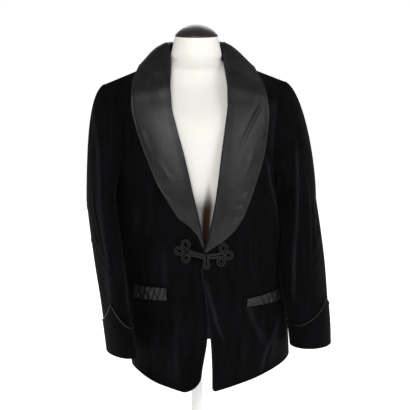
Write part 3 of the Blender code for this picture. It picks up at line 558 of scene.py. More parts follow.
def grid_normals(grid, side, wrap=False):
    """Outward normals of a grid of points, with columns that close on themselves if wrap is set."""
    along = np.gradient(grid, axis=0)
    if wrap:
        across = np.roll(grid, -1, axis=1) - np.roll(grid, 1, axis=1)
    else:
        across = np.gradient(grid, axis=1)
    return unit(np.cross(across, along)) * side


def pull_back(grid, amount, row_ends, column_ends):
    """Move the chosen border points of a grid into the sheet, to leave a seam's gap."""
    result = grid.copy()
    for end, inward, row_chosen, column_chosen in zip((0, -1), (1, -2), row_ends, column_ends):
        if row_chosen:
            result[end] += unit(grid[inward] - grid[end]) * amount
        if column_chosen:
            result[:, end] += unit(grid[:, inward] - grid[:, end]) * amount
    return result


def cells(rows, columns, wrap, start=0):
    """Quads of a grid whose points are numbered row by row from start."""
    last = columns if wrap else columns - 1
    quads = []
    for i in range(rows - 1):
        for j in range(last):
            k = (j + 1) % columns
            quads.append(tuple(start + n for n in (i * columns + j, i * columns + k,
                                                   (i + 1) * columns + k, (i + 1) * columns + j)))
    return quads


def end_faces(rows, columns):
    """The two faces that close the ends of a grid whose rows are rings."""
    return [tuple(range(columns)), tuple(range((rows - 1) * columns, rows * columns))]


def round_about(count):
    """Angles in even steps once round."""
    return np.linspace(0, 2 * pi, count, endpoint=False)


def run_along(path):
    """Each point's distance along a path from its first point."""
    return np.concatenate([[0.0], np.cumsum(np.linalg.norm(np.diff(path, axis=0), axis=1))])


def table_places(grid, side):
    """Each point's x and height as the tables give them."""
    return grid[..., 0] * side, grid[..., 2] - HEM_Z


def line_places(across, along, start, end):
    """Each point's share of the way along a line from start to end, and its distance beside it."""
    run = np.array(end) - start
    length = np.linalg.norm(run)
    offset = np.stack([across, along], axis=-1) - start
    return offset @ run / length ** 2, offset @ np.array((run[1], -run[0])) / length


def tree_of(*grids):
    """A search tree of the faces of several grids."""
    points, faces = [], []
    for grid in grids:
        faces += cells(grid.shape[0], grid.shape[1], False, len(points))
        points += [Vector(p) for p in grid.reshape(-1, 3)]
    return BVHTree.FromPolygons(points, faces)


def front_hit(tree, x, z):
    """Where a tree's faces are first met from the front at x and z, or None."""
    return tree.ray_cast(Vector((x, RAY_START_Y, z)), Vector((0, 1, 0)))[0]


def push_out(points, tree, clear):
    """Move points off a surface until they are clear of it, away from the upright axis."""
    moved = points.copy()
    for index in np.ndindex(points.shape[:-1]):
        point = Vector(points[index])
        near, normal, _, _ = tree.find_nearest(point)
        if normal.x * near.x + normal.y * near.y < 0:
            normal = -normal
        short = (clear[index] if np.ndim(clear) else clear) - (point - near).dot(normal)
        if short > 0:
            moved[index] = point + normal * short
    return moved


def section_arc(start, end, turn, shares):
    """Points from a flat start (front or back centre) to an end that has turned to the side."""
    angles = turn * shares
    across = np.sin(angles) / np.sin(turn)
    deep = (1 - np.cos(angles)) / (1 - np.cos(turn))
    share = np.stack([across, deep, across], axis=-1)
    return np.array(start) + (np.array(end) - np.array(start)) * share


def fold_lift(grid, folds, side):
    """How far soft folds lift each point of a body grid."""
    lift = np.zeros(grid.shape[:2])
    for row in folds:
        fold = named(FOLD_KEYS, row)
        start, end = (fold["x0"], fold["h0"]), (fold["x1"], fold["h1"])
        along, off = line_places(*table_places(grid, side), start, end)
        fade = np.clip(FOLD_TOP - np.abs(along - FOLD_MIDDLE) * FOLD_RAMP, 0, 1)
        lift += fold["height"] * np.exp(-(off / fold["width"]) ** 2) * ease(fade)
    column = np.linspace(0, 1, grid.shape[1])
    seam = np.minimum(column, column[::-1]) / SEAM_FADE_SHARE
    return lift * np.clip(seam, 0, 1)


def body_table(side_name):
    """The body's level table of one side, with its own front edge."""
    chest = [(row[0], x_edge, *row[2:]) for row, x_edge in zip(CHEST, CHEST_EDGE[side_name])]
    return list(SKIRT[side_name]) + chest


def body_keys():
    """Levels of the body's rows, with one row at the armpit."""
    skirt = ARMPIT_KEY * np.linspace(0.0, 1.0, SKIRT_ROWS + 1) ** HEM_CROWDING
    chest = np.linspace(ARMPIT_KEY, NECK_KEY, ARMHOLE_ROWS + 1)
    return np.concatenate([skirt, chest[1:]])


def shoulder_row(shares):
    """Top row of a back: along the shoulder seam to the neck point, then round the neckline."""
    seam_end = 1 - NECK_COLUMNS / BACK_COLUMNS
    row = []
    for share in shares:
        if share <= seam_end:
            part = share / seam_end
            row.append(np.array(SHOULDER_POINT) * (1 - part) + np.array(NECK_POINT) * part)
        else:
            angle = (share - seam_end) / (1 - seam_end) * pi / 2
            x, y, h = NECK_POINT
            y_back, h_back = NECK_BACK
            row.append(np.array((x * cos(angle), y + (y_back - y) * sin(angle),
                                 h + (h_back - h) * (1 - cos(angle)))))
    return np.array(row)


def half_body(side_name):
    """The front from its edge to the side, and the back from the side to its centre, as outer points."""
    side = SIDES[side_name]
    front_shares = np.linspace(0, 1, FRONT_COLUMNS + 1)
    back_shares = np.linspace(1, 0, BACK_COLUMNS + 1)
    top = shoulder_row(1 - back_shares)
    radius = CORNER_RADIUS[side_name]
    front_rows, back_rows = [], []
    for key, values in zip(body_keys(), smooth(body_table(side_name), body_keys())):
        level = named(SIDE_KEYS, values)
        turn = radians(level["turn"])
        if key <= ARMPIT_KEY:
            level["y_front"] = level["y_behind"] = (level["y_front"] + level["y_behind"]) / 2
        below = max(0.0, 1 - key / radius)
        rounding = radius * (1 - np.sqrt(1 - below ** 2))
        edge = (level["x_edge"] + rounding, level["y_edge"], level["h_edge"])
        front_end = (level["x_side"], level["y_front"], level["h_side"])
        back_end = (level["x_side"], level["y_behind"], level["h_side"])
        front = section_arc(edge, front_end, turn, front_shares)
        centre = (0.0, level["y_back"], level["h_back"])
        back = section_arc(centre, back_end, max(turn, radians(BACK_TURN_LEAST)), back_shares)
        blend = np.clip((key - YOKE_KEY) / (NECK_KEY - YOKE_KEY), 0, 1) ** 2
        back = back * (1 - blend) + top * blend
        front_rows.append(front)
        back_rows.append(back)
    panels = []
    for rows, folds, creases in ((front_rows, FRONT_FOLDS[side_name], FRONT_CREASES[side_name]),
                                (back_rows, BACK_FOLDS, BACK_CREASES[side_name])):
        grid = np.array(rows) * (side, 1, 1) + (0, 0, HEM_Z)
        lift = fold_lift(grid, folds, side)
        fine = crease_lift(*table_places(grid, side), creases)
        lift += fine * np.clip(border_distance(grid, columns=(True, True)) / CREASE_EDGE, 0, 1)
        panels.append(grid + grid_normals(grid, side) * lift[..., None])
    return panels


def panel_normals(front, back, side):
    """Normals of a front and a back, shared at the side seam and mitred at shoulder and centre back."""
    front_normal = grid_normals(front, side)
    back_normal = grid_normals(back, side)
    seam = slice(0, SKIRT_ROWS + 1)
    shared = front_normal[seam, -1] + back_normal[seam, 0]
    front_normal[seam, -1] = shared
    back_normal[seam, 0] = shared
    front_normal[-1, :, 1] = 0
    back_normal[-1, :BACK_COLUMNS - NECK_COLUMNS + 1, 1] = 0
    back_normal[:, -1, 0] = 0
    return unit(front_normal), unit(back_normal)


def armhole_loop(front_part, back_part):
    """Values round an armhole: up its front part from the armpit, then down its back part."""
    return np.concatenate([front_part, back_part[::-1][1:-1]])


def sleeve_ring(values, angles, side):
    """One ring of a sleeve: inner side at 180 degrees, front at 90, outer side at 0."""
    ring = named(SLEEVE_KEYS, values)
    half = (ring["x_out"] - ring["x_in"]) / 2
    middle = (ring["x_out"] + ring["x_in"]) / 2
    y_off = -ring["half_depth"] * np.sin(angles)
    x = middle + half * np.cos(angles) + ring["lean"] * y_off
    return np.stack([side * x, ring["y_mid"] + y_off, np.full_like(x, HEM_Z + ring["h"])], axis=-1)


def sleeve_grid(side_name, front_loop, back_loop, body_tree):
    """A sleeve's outer points, from the armhole over the sleeve head and down to its end."""
    side = SIDES[side_name]
    loop = armhole_loop(front_loop, back_loop)
    angles = armhole_loop(np.linspace(pi, 0, len(front_loop)), np.linspace(-pi, 0, len(back_loop)))
    table = SLEEVE_RINGS[side_name]
    first = sleeve_ring(table[0], angles, side)
    start = loop + np.array((side * LAY_GAP, 0, 0))
    rise = (start[:, 2:] - first[:, 2:]).clip(0.0) / (start[:, 2].max() - first[:, 2].max())
    leave = np.array((side * CAP_REACH, 0.0, -CAP_SLOPE * CAP_REACH)) * rise
    land = np.array((0.0, 0.0, -CAP_DROP)) * rise
    rows = []
    for u in np.linspace(0, 1, CAP_ROWS + 1):
        rows.append(hermite(u, start, leave, first, land))
    levels = np.linspace(table[0][0], table[-1][0], ARM_ROWS + 1)[1:]
    for values in smooth(sorted(table), levels):
        rows.append(sleeve_ring(values, angles, side))
    grid = np.array(rows)
    lift = break_lift(grid, angles)
    arc = np.broadcast_to(angles * SLEEVE_ARM, lift.shape)
    lift = lift + crease_lift(arc, grid[..., 2] - HEM_Z, SLEEVE_CREASES)
    grid += grid_normals(grid, -side, True) * lift[..., None]
    clear = np.minimum(LAY_GAP + SLEEVE_CLEAR_STEP * np.arange(len(rows)), SLEEVE_CLEAR)
    clear = np.repeat(clear[:, None], grid.shape[1], axis=1)
    clear[0] = LEFT_AS_IT_IS
    inner = np.cos(angles) < INNER_COSINE
    grid[:, inner] = push_out(grid[:, inner], body_tree, clear[:, inner])
    return grid, angles


def break_lift(grid, angles):
    """How far the soft breaks of a sleeve lift each of its points."""
    lift = np.zeros(grid.shape[:2])
    turn = np.degrees(angles)[None, :]
    height = grid[..., 2] - HEM_Z
    for row in SLEEVE_BREAKS:
        mark = named(BREAK_KEYS, row)
        away = (turn - mark["angle"] + 180) % 360 - 180
        reach = (away / mark["spread"]) ** 2 + ((height - mark["h"]) / mark["length"]) ** 2
        lift += mark["depth"] * np.exp(-reach)
    return lift


def sleeve_point(grid, column, height):
    """A point of a sleeve's outer face in one of its columns, at a height."""
    line = grid[CAP_ROWS:, column][::-1]
    return read_at(height, line[:, 2], line)


def cuff_top(cuff, angle):
    """Height of a cuff's pointed top edge above the sleeve's end."""
    away = abs((np.degrees(angle) - cuff["apex_angle"] + 180) % 360 - 180)
    rise = max(0.0, 1 - away / cuff["spread"])
    return cuff["low"] + (cuff["point"] - cuff["low"]) * rise ** cuff["curve"]


def stand_ways(point):
    """The way the collar's stand rises, up and in towards the neck, and the way square to it, out."""
    inward = unit(np.array((-point[0], NECK_AXIS_Y - point[1], 0.0)))
    up = np.array((0.0, 0.0, 1.0))
    return unit(inward * STAND_LEAN + up), unit(up * STAND_LEAN - inward)


def collar_stations(side_name, front, back):
    """The collar's stations: edge point, its normal and the way past it, the stand and the outer edge."""
    side = SIDES[side_name]
    front_tree = tree_of(front)
    column, column_normal = front[:, 0], grid_normals(front, side)[:, 0]
    column_past = unit(front[:, 0] - front[:, 1])
    stations = []
    for row in LAPELS[side_name]:
        mark = named(LAPEL_KEYS, row)
        height = mark["h_edge"] + HEM_Z
        share = np.clip((mark["h_edge"] - YOKE_KEY) / (NECK_KEY - YOKE_KEY), 0, 1) ** 2
        point = read_at(height, column[:, 2], column)
        past = unit(read_at(height, column[:, 2], column_past))
        facing = unit(read_at(height, column[:, 2], column_normal))
        rising, outward = stand_ways(point)
        x, z = side * mark["x_out"], mark["h_out"] + HEM_Z
        hit = front_hit(front_tree, x, z)
        if hit is None:
            hit = front_tree.find_nearest(Vector((x, point[1], z)))[0]
        stations.append({"point": point, "past": past, "share": share, "out": np.array((x, hit.y, z)),
                         "facing": facing, "outward": unit(facing * (1 - share) + outward * share),
                         "beyond": unit(past * (1 - share) + rising * share),
                         "fold": FRONT_FOLD + (NECK_STAND - FRONT_FOLD) * share})
    neck = slice(-NECK_COLUMNS - 1, None)
    steps = np.arange(NECK_COLUMNS + 1) / NECK_COLUMNS
    for row in COLLAR_BACK:
        mark = named(COLLAR_BACK_KEYS, row)
        point = read_at(mark["share"], steps, back[-1, neck])
        rising, outward = stand_ways(point)
        stations.append({"point": point, "share": 1.0, "beyond": rising, "outward": outward,
                         "fold": mark["stand"],
                         "past": unit(read_at(mark["share"], steps, unit(back[-1] - back[-2])[neck])),
                         "facing": unit(read_at(mark["share"], steps, grid_normals(back, side)[-1, neck])),
                         "out": np.array((side * mark["x_out"], mark["y_out"], mark["h_out"] + HEM_Z))})
    return stations


def collar_section(station):
    """Points across a collar at one station: up the stand, over the fold and down the fall."""
    point, facing, beyond, outward = (station[key] for key in ("point", "facing", "beyond", "outward"))
    share, fold, out = (station[key] for key in ("share", "fold", "out"))
    before = COLLAR_LIP_GAP + SATIN_WALL
    rise = beyond * (fold - FRONT_FOLD)
    lip = station["past"] * before
    spread = FOLD_SPREAD * min(1.0, (fold - FRONT_FOLD) / NECK_STAND)
    crest = beyond * spread * CREST_RISE
    section = [point - facing * VELVET_WALL + lip,
               point - facing * VELVET_WALL * 0.5 + lip + rise * 0.5,
               point + outward * LAY_GAP * 0.5 + lip + rise * STAND_NEARLY_UP,
               point + outward * (before * CREST_OUT + spread * 0.5) + lip * CREST_LIP + rise + crest,
               point + outward * (before + spread) + rise - crest]
    start = section[-1]
    roll = ROLL_BULGE * min(1.0, np.linalg.norm(out - start) / ROLL_WIDTH)
    for b in np.linspace(0, 1, FALL_COLUMNS + 1)[1:]:
        swell = (roll * (1 - share) + NECK_SWELL * share) * arch(b) * (1 - b)
        section.append(start * (1 - b) + out * b + facing * swell)
    return section


def collar_grid(side_name, front, back):
    """A collar half's outer points, with its fall clear of the body."""
    body_tree = tree_of(front, back)
    rows = np.array([collar_section(station) for station in collar_stations(side_name, front, back)])
    fall = slice(STAND_POINTS, None)
    clear = SATIN_WALL + COLLAR_LAY_GAP
    rows[:, fall] = push_out(rows[:, fall], body_tree, clear)
    dense = []
    for i in range(len(rows) - 1):
        dense += [rows[i], (rows[i] + rows[i + 1]) / 2]
    dense.append(rows[-1])
    dense = np.array(dense)
    dense[:, fall] = push_out(dense[:, fall], body_tree, clear)
    return dense


def petal_points(angle, sense):
    """A petal of cord that leaves the junction, rounds its tip and comes back beside itself."""
    a = radians(angle)
    places = []
    for turn in np.linspace(-pi + PETAL_NECK, pi - PETAL_NECK, PETAL_STEPS):
        x = PETAL_MIDDLE + PETAL_LONG * cos(turn)
        y = PETAL_HALF * sin(turn) * sense
        places.append((x * cos(a) - y * sin(a), x * sin(a) + y * cos(a)))
    return places


def lay_on_front(places, trees, lift):
    """Points of a path laid on what is foremost at each place, moved out."""
    path = []
    for x, h in places:
        hits = [front_hit(tree, x, HEM_Z + h) for tree in trees]
        floor = [BRIDGE_Y] if abs(x) < BRIDGE_HALF else []
        path.append((x, min(floor + [hit.y for hit in hits if hit]) - lift, HEM_Z + h))
    path = np.array(path)
    for _ in range(LEVEL_PASSES):
        middle = (path[:-2, 1] + path[2:, 1]) / 2
        path[1:-1, 1] = np.minimum(path[1:-1, 1], middle)
    return path


# Shells

def placed(name, data):
    """A new object in the scene."""
    made = bpy.data.objects.new(name, data)
    bpy.context.scene.collection.objects.link(made)
    return made


def piece(name, node, mesh, slot):
    """A piece that rides on the part and stands in for one of its nodes, in the looks of its record slot."""
    made = placed(name, mesh)
    for finish in LOOKS[slot]:
        mesh.materials.append(finish)
    mesh.shade_smooth()
    mesh.set_sharp_from_angle(angle=radians(SHARP_ANGLE))
    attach(made, "root")
    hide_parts(node)
    return made


def mesh_of(name, points, faces, inside=None, weld=False):
    """A mesh with its faces turned outwards; a slice of inside faces takes the second material."""
    mesh = bpy.data.meshes.new(name)
    mesh.from_pydata([tuple(p) for p in points], [], faces)
    if inside:
        marks = np.zeros(len(faces), dtype=np.int32)
        marks[inside] = 1
        mesh.polygons.foreach_set("material_index", marks)
    form = bmesh.new()
    form.from_mesh(mesh)
    bmesh.ops.recalc_face_normals(form, faces=form.faces)
    if weld:
        bmesh.ops.remove_doubles(form, verts=form.verts, dist=WELD)
    form.to_mesh(mesh)
    form.free()
    return mesh


def shell(name, node, outer, inner, slot, wrap=False, painted_highlight=None):
    """A cloth shell between two grids, closed by rims, with the cloth's back on its inner face."""
    rows, columns = outer.shape[:2]
    count = rows * columns
    points = np.concatenate([outer.reshape(-1, 3), inner.reshape(-1, 3)])
    front = cells(rows, columns, wrap)
    faces = front + [tuple(reversed(q)) for q in cells(rows, columns, wrap, count)]
    rims = [(row * columns + j, row * columns + (j + 1) % columns)
            for row in (0, rows - 1) for j in range(columns if wrap else columns - 1)]
    if not wrap:
        rims += [(i * columns + column, (i + 1) * columns + column)
                 for column in (0, columns - 1) for i in range(rows - 1)]
    faces += [(a, b, b + count, a + count) for a, b in rims]
    mesh = mesh_of(name, points, faces, slice(len(front), 2 * len(front)))
    # The share of painted highlight rides on the mesh's points
    if painted_highlight is not None:
        layer = mesh.attributes.new("painted_highlight", "FLOAT", "POINT")
        layer.data.foreach_set("value", np.concatenate([painted_highlight.ravel(), np.zeros(count)]).astype(np.float32))
    return piece(name, node, mesh, slot)


def upsample(grid, rows, columns):
    """A grid read at finer places along both of its ways, on cubics through its points."""
    for places in (rows, columns):
        table = np.column_stack([np.arange(len(grid)), grid.reshape(len(grid), -1)])
        read = smooth(table, places)[:, 1:]
        grid = read.reshape(len(places), -1, 3).transpose(1, 0, 2)
    return grid


def crease_lift(across, along, creases):
    """How far the listed creases lift points: a soft ridge with a shallow trough beside it."""
    lift = np.zeros(across.shape)
    for row in creases:
        crease = named(CREASE_KEYS, row)
        start, end = (crease["u0"], crease["v0"]), (crease["u1"], crease["v1"])
        share, off = line_places(across, along, start, end)
        inside = np.clip(share, 0, 1)
        off = off - crease["bow"] * arch(inside)
        fade = ease(np.clip(np.minimum(share, 1 - share) / CREASE_TAPER, 0, 1))
        uneven = 1 + CREASE_UNEVEN * np.sin(CREASE_BEAT * inside + CREASE_PHASE * crease["u0"])
        ridge = np.exp(-(off / crease["width"]) ** 2)
        trough = np.exp(-((off - TROUGH_PLACE * crease["width"]) / (TROUGH_WIDTH * crease["width"])) ** 2)
        lift += crease["height"] * fade * uneven * (ridge - TROUGH_SHARE * trough)
    return lift


def highlight_lines(grid, side, lines):
    """How much painted highlight lies along lines of a grid, from 0 to 1, in place of the sheen on fold
    ridges.
    """
    across, along = table_places(grid, side)
    painted_highlight = np.zeros(across.shape)
    for points, width, share in lines:
        heights, places = zip(*points)
        fade = np.clip(np.minimum(along - heights[0], heights[-1] - along) / HIGHLIGHT_TAPER, 0, 1)
        off = (across - np.interp(along, heights, places)) / width
        painted_highlight = np.maximum(painted_highlight, share * fade * np.exp(-off ** 2))
    return painted_highlight


def border_distance(grid, rows=(False, False), columns=(False, False)):
    """Each point's distance from the nearest chosen border of its grid, along the grid."""
    nearest = np.full(grid.shape[:2], FAR)
    for axis, (first, last) in enumerate((rows, columns)):
        steps = np.linalg.norm(np.diff(grid, axis=axis), axis=-1)
        run = np.insert(np.cumsum(steps, axis=axis), 0, 0.0, axis=axis)
        if first:
            nearest = np.minimum(nearest, run)
        if last:
            nearest = np.minimum(nearest, run.take([-1], axis=axis) - run)
    return nearest


def seam_dip(distance):
    """How far cloth is drawn in beside a sewn seam."""
    return SEAM_DIP * np.exp(-(distance / SEAM_SOFT) ** 2)


# Materials

NOISE = "ShaderNodeTexNoise"
WAVE = "ShaderNodeTexWave"

# Spans of a texture's value that colour and roughness run over
COLOUR_SPAN = (0.3, 0.7)
ROUGHNESS_SPAN = (0.25, 0.75)

# Places of the colour sockets on a Mix node
MIX_FIRST = 6
MIX_SECOND = 7
MIX_RESULT = 2


def shader_input(made, socket):
    """An input of a material's shader."""
    return made.node_tree.nodes["Principled BSDF"].inputs[socket]


def to_shader(made, source, socket):
    """Link a source to an input of a material's shader."""
    made.node_tree.links.new(source, shader_input(made, socket))


def add_node(made, kind, **values):
    """A node of a material; each value goes to the input or setting of its name, and sockets are linked."""
    tree = made.node_tree
    node = tree.nodes.new(kind)
    for name, value in values.items():
        socket = name.replace("_", " ")
        if socket not in node.inputs:
            setattr(node, name, value)
        elif isinstance(value, bpy.types.NodeSocket):
            tree.links.new(value, node.inputs[socket])
        else:
            node.inputs[socket].default_value = value
    return node


def base_material(name, colour, roughness, **sockets):
    """A Principled material with plain values on its own sockets, and its object coordinates."""
    made = bpy.data.materials.new(name)
    made.use_nodes = True
    shader_input(made, "Base Color").default_value = (*colour, 1.0)
    shader_input(made, "Roughness").default_value = roughness
    for socket, value in sockets.items():
        shader_input(made, socket.replace("_", " ")).default_value = value
    add_node(made, "ShaderNodeTexCoord", name="place")
    return made


def place_of(made):
    """The object coordinates of a material."""
    return made.node_tree.nodes["place"].outputs["Object"]


def texture(made, kind, stretch=None, **values):
    """A texture node read at object coordinates, stretched if asked."""
    place = place_of(made)
    if stretch:
        place = add_node(made, "ShaderNodeMapping", Vector=place, Scale=stretch).outputs["Vector"]
    return add_node(made, kind, Vector=place, **values)


def colour_between(made, source, dark, light):
    """Base colour that runs from dark to light with a texture's value."""
    ramp = add_node(made, "ShaderNodeValToRGB", Fac=source.outputs[0])
    for element, place, colour in zip(ramp.color_ramp.elements, COLOUR_SPAN, (dark, light)):
        element.position = place
        element.color = (*colour, 1.0)
    to_shader(made, ramp.outputs["Color"], "Base Color")


def roughness_between(made, source, low, high):
    """Roughness that runs from low to high with a texture's value."""
    start, end = ROUGHNESS_SPAN
    span = add_node(made, "ShaderNodeMapRange", Value=source.outputs[0], From_Min=start, From_Max=end,
                    To_Min=low, To_Max=high)
    to_shader(made, span.outputs["Result"], "Roughness")


def bumps(made, *layers):
    """Bump layers, each a texture node, a strength and a height in metres."""
    below = {}
    for source, strength, height in layers:
        bump = add_node(made, "ShaderNodeBump", Strength=strength, Distance=height,
                        Height=source.outputs[0], **below)
        below = {"Normal": bump.outputs["Normal"]}
    to_shader(made, below["Normal"], "Normal")


def mix_in(made, share, colour):
    """A colour mixed over the base colour by a share from 0 to 1."""
    base = shader_input(made, "Base Color").links[0].from_socket
    mix = add_node(made, "ShaderNodeMix", data_type="RGBA", Factor=share)
    made.node_tree.links.new(base, mix.inputs[MIX_FIRST])
    mix.inputs[MIX_SECOND].default_value = (*colour, 1.0)
    to_shader(made, mix.outputs[MIX_RESULT], "Base Color")


def eased(made, source, start, end):
    """A value that eases from 0 to 1 as a source runs from start to end, whichever of them is higher."""
    low, high = sorted((start, end))
    span = add_node(made, "ShaderNodeMapRange", interpolation_type="SMOOTHSTEP", Value=source, From_Min=low,
                    From_Max=high, To_Min=float(start > end), To_Max=float(start < end))
    return span.outputs["Result"]


def arithmetic(made, operation, first, second):
    """The result of an operation on two values, each a socket or a plain number."""
    node = add_node(made, "ShaderNodeMath", operation=operation)
    for socket, value in zip(node.inputs, (first, second)):
        if isinstance(value, float):
            socket.default_value = value
        else:
            made.node_tree.links.new(value, socket)
    return node.outputs["Value"]


def highlight_share(made, brush):
    """The share of painted highlight stored on the mesh, broken up by the brush marks."""
    stored = add_node(made, "ShaderNodeAttribute", attribute_name="painted_highlight")
    uneven = arithmetic(made, "MULTIPLY", brush.outputs[0], HIGHLIGHT_BRUSH)
    return arithmetic(made, "MULTIPLY", stored.outputs["Fac"], uneven)


def paint_fold_shade(made):
    """Painted shade: brown in the depth of the cover's fold, where shade falls; it fades in down the form
    and widens as it goes.
    """
    parts = add_node(made, "ShaderNodeSeparateXYZ", Vector=place_of(made))
    down = eased(made, parts.outputs["Z"], HEM_Z + COVER_FOLD_HEIGHTS[0], HEM_Z + COVER_FOLD_HEIGHTS[1])
    off = arithmetic(made, "SUBTRACT", parts.outputs["X"], COVER_FOLD_X)
    off = arithmetic(made, "ABSOLUTE", off, 0.0)
    off = arithmetic(made, "SUBTRACT", off, arithmetic(made, "MULTIPLY", down, COVER_FOLD_WIDTH))
    inside = eased(made, off, COVER_FOLD_WIDTH * COVER_FOLD_SOFT, -COVER_FOLD_WIDTH * COVER_FOLD_SOFT)
    # Painted shade: brown mixed over the cover's colour in the fold
    mix_in(made, arithmetic(made, "MULTIPLY", down, inside), COVER_FOLD_PAINTED_SHADE)


def velvet_material():
    """Black cotton velvet: a deep pile with a soft sheen, brushed in streaks down its length, with painted
    highlights along its folds and edges.
    """
    made = base_material("velvet", (0.0015, 0.0015, 0.002), 0.92, Specular_IOR_Level=0.05,
                         Sheen_Weight=0.016, Sheen_Roughness=0.40, Sheen_Tint=(0.66, 0.62, 0.74, 1.0))
    brush = texture(made, NOISE, (1.0, 1.0, 0.22), Scale=42.0, Detail=8.0, Roughness=0.72, Distortion=0.5)
    colour_between(made, brush, (0.0001, 0.0001, 0.0002), (0.0024, 0.0023, 0.0031))
    # Painted highlight: a lighter colour along fold ridges and edges, where the sheen catches the light
    mix_in(made, highlight_share(made, brush), PAINTED_HIGHLIGHT_COLOUR)
    pile = texture(made, NOISE, Scale=2200.0, Detail=2.0)
    clump = texture(made, NOISE, Scale=260.0, Detail=3.0, Roughness=0.6)
    bumps(made, (clump, 0.22, 0.0006), (pile, 0.35, 0.0004))
    return made


def velvet_back_material():
    """The woven back of the velvet, seen inside the jacket."""
    made = base_material("velvet_back", (0.006, 0.006, 0.007), 0.9, Specular_IOR_Level=0.2)
    twill = texture(made, WAVE, Scale=420.0, Distortion=0.6, bands_direction="DIAGONAL")
    colour_between(made, twill, (0.0045, 0.0045, 0.0055), (0.0085, 0.0085, 0.0095))
    bumps(made, (twill, 0.3, 0.0003))
    return made


def satin_material():
    """Black satin with a broad soft gloss and a fine weave."""
    made = base_material("satin", (0.012, 0.012, 0.013), 0.36, Specular_IOR_Level=0.27, Anisotropic=0.35)
    streak = texture(made, NOISE, Scale=34.0, Detail=5.0, Roughness=0.6)
    colour_between(made, streak, (0.0014, 0.0014, 0.0018), (0.0066, 0.0066, 0.0072))
    roughness_between(made, streak, 0.35, 0.46)
    weave = texture(made, WAVE, Scale=620.0, Distortion=1.2, bands_direction="DIAGONAL")
    ripple = texture(made, NOISE, Scale=95.0, Detail=3.0, Roughness=0.55)
    bumps(made, (ripple, 0.20, 0.0014), (weave, 0.12, 0.0002))
    return made


def cord_material():
    """Silky black cord."""
    made = base_material("cord", (0.004, 0.004, 0.0045), 0.48, Specular_IOR_Level=0.22, Sheen_Weight=0.02)
    thread = texture(made, NOISE, Scale=900.0, Detail=2.0)
    colour_between(made, thread, (0.0025, 0.0025, 0.003), (0.0065, 0.0065, 0.007))
    bumps(made, (thread, 0.3, 0.0003))
    return made


def form_cloth_material():
    """Cream jersey stretched over the form, with brown painted shade in the depth of its fold."""
    made = base_material("form_cloth", (0.690, 0.670, 0.625), 0.82, Specular_IOR_Level=0.25,
                         Sheen_Weight=0.08)
    tone = texture(made, NOISE, Scale=9.0, Detail=4.0, Roughness=0.55)
    colour_between(made, tone, (0.648, 0.628, 0.583), (0.672, 0.657, 0.620))
    # Painted shade in the fold at the foot of the V
    paint_fold_shade(made)
    rib = texture(made, WAVE, Scale=520.0, Distortion=0.5, bands_direction="X")
    course = texture(made, WAVE, Scale=430.0, Distortion=0.5, bands_direction="Z")
    bumps(made, (rib, 0.20, 0.0003), (course, 0.16, 0.0003))
    return made


def cap_wood_material():
    """Dark stained turned wood."""
    made = base_material("cap_wood", (0.030, 0.024, 0.021), 0.42, Specular_IOR_Level=0.45)
    grain = texture(made, NOISE, Scale=60.0, Detail=5.0, Roughness=0.6, Distortion=1.5)
    colour_between(made, grain, (0.006, 0.0042, 0.0035), (0.020, 0.014, 0.012))
    roughness_between(made, grain, 0.30, 0.46)
    pore = texture(made, NOISE, Scale=480.0, Detail=2.0)
    bumps(made, (pore, 0.12, 0.0003))
    return made


def painted_metal_material():
    """White powder coat with its fine orange peel."""
    made = base_material("painted_metal", (0.94, 0.93, 0.91), 0.45, Specular_IOR_Level=0.4)
    peel = texture(made, NOISE, Scale=700.0, Detail=2.0)
    tone = texture(made, NOISE, Scale=14.0, Detail=3.0)
    colour_between(made, tone, (0.930, 0.922, 0.905), (0.965, 0.958, 0.945))
    bumps(made, (peel, 0.10, 0.0003))
    return made


# Materials of each record slot; a shell's second one is on its inner face
LOOKS = {
    "velvet": (velvet_material(), velvet_back_material()),
    "satin": (satin_material(),) * 2,
    "cord": (cord_material(),),
    "form_cloth": (form_cloth_material(),),
    "cap_wood": (cap_wood_material(),),
    "painted_metal": (painted_metal_material(),),
}


# Pieces

def add_body(side_name, front, back, normals):
    """The front and the back of one side, drawn in along their seams."""
    rows = (False, True)
    made = {}
    for name, grid, normal in zip(("front", "back"), (front, back), normals):
        columns = (name == "back", True)
        sunk = grid - normal * seam_dip(border_distance(grid, rows, columns))[..., None]
        outer = pull_back(sunk, SEAM_GAP / 2, rows, columns)
        inner = outer - normal * VELVET_WALL
        if name == "front":
            # Painted highlight along the front edge and along the listed lines
            edge = border_distance(grid, columns=(True, False))
            painted_highlight = np.maximum(HIGHLIGHT_EDGE_SHARE * np.exp(-(edge / HIGHLIGHT_EDGE_WIDTH) ** 2),
                             highlight_lines(grid, SIDES[side_name], FRONT_HIGHLIGHTS[side_name]))
        else:
            outer[:, -1, 0] = inner[:, -1, 0] = 0.0
            painted_highlight = np.zeros(grid.shape[:2])
        node = f"{name}_{side_name}"
        made[name] = shell(f"velvet_{node}", node, outer, inner, "velvet", painted_highlight=painted_highlight)
    return made


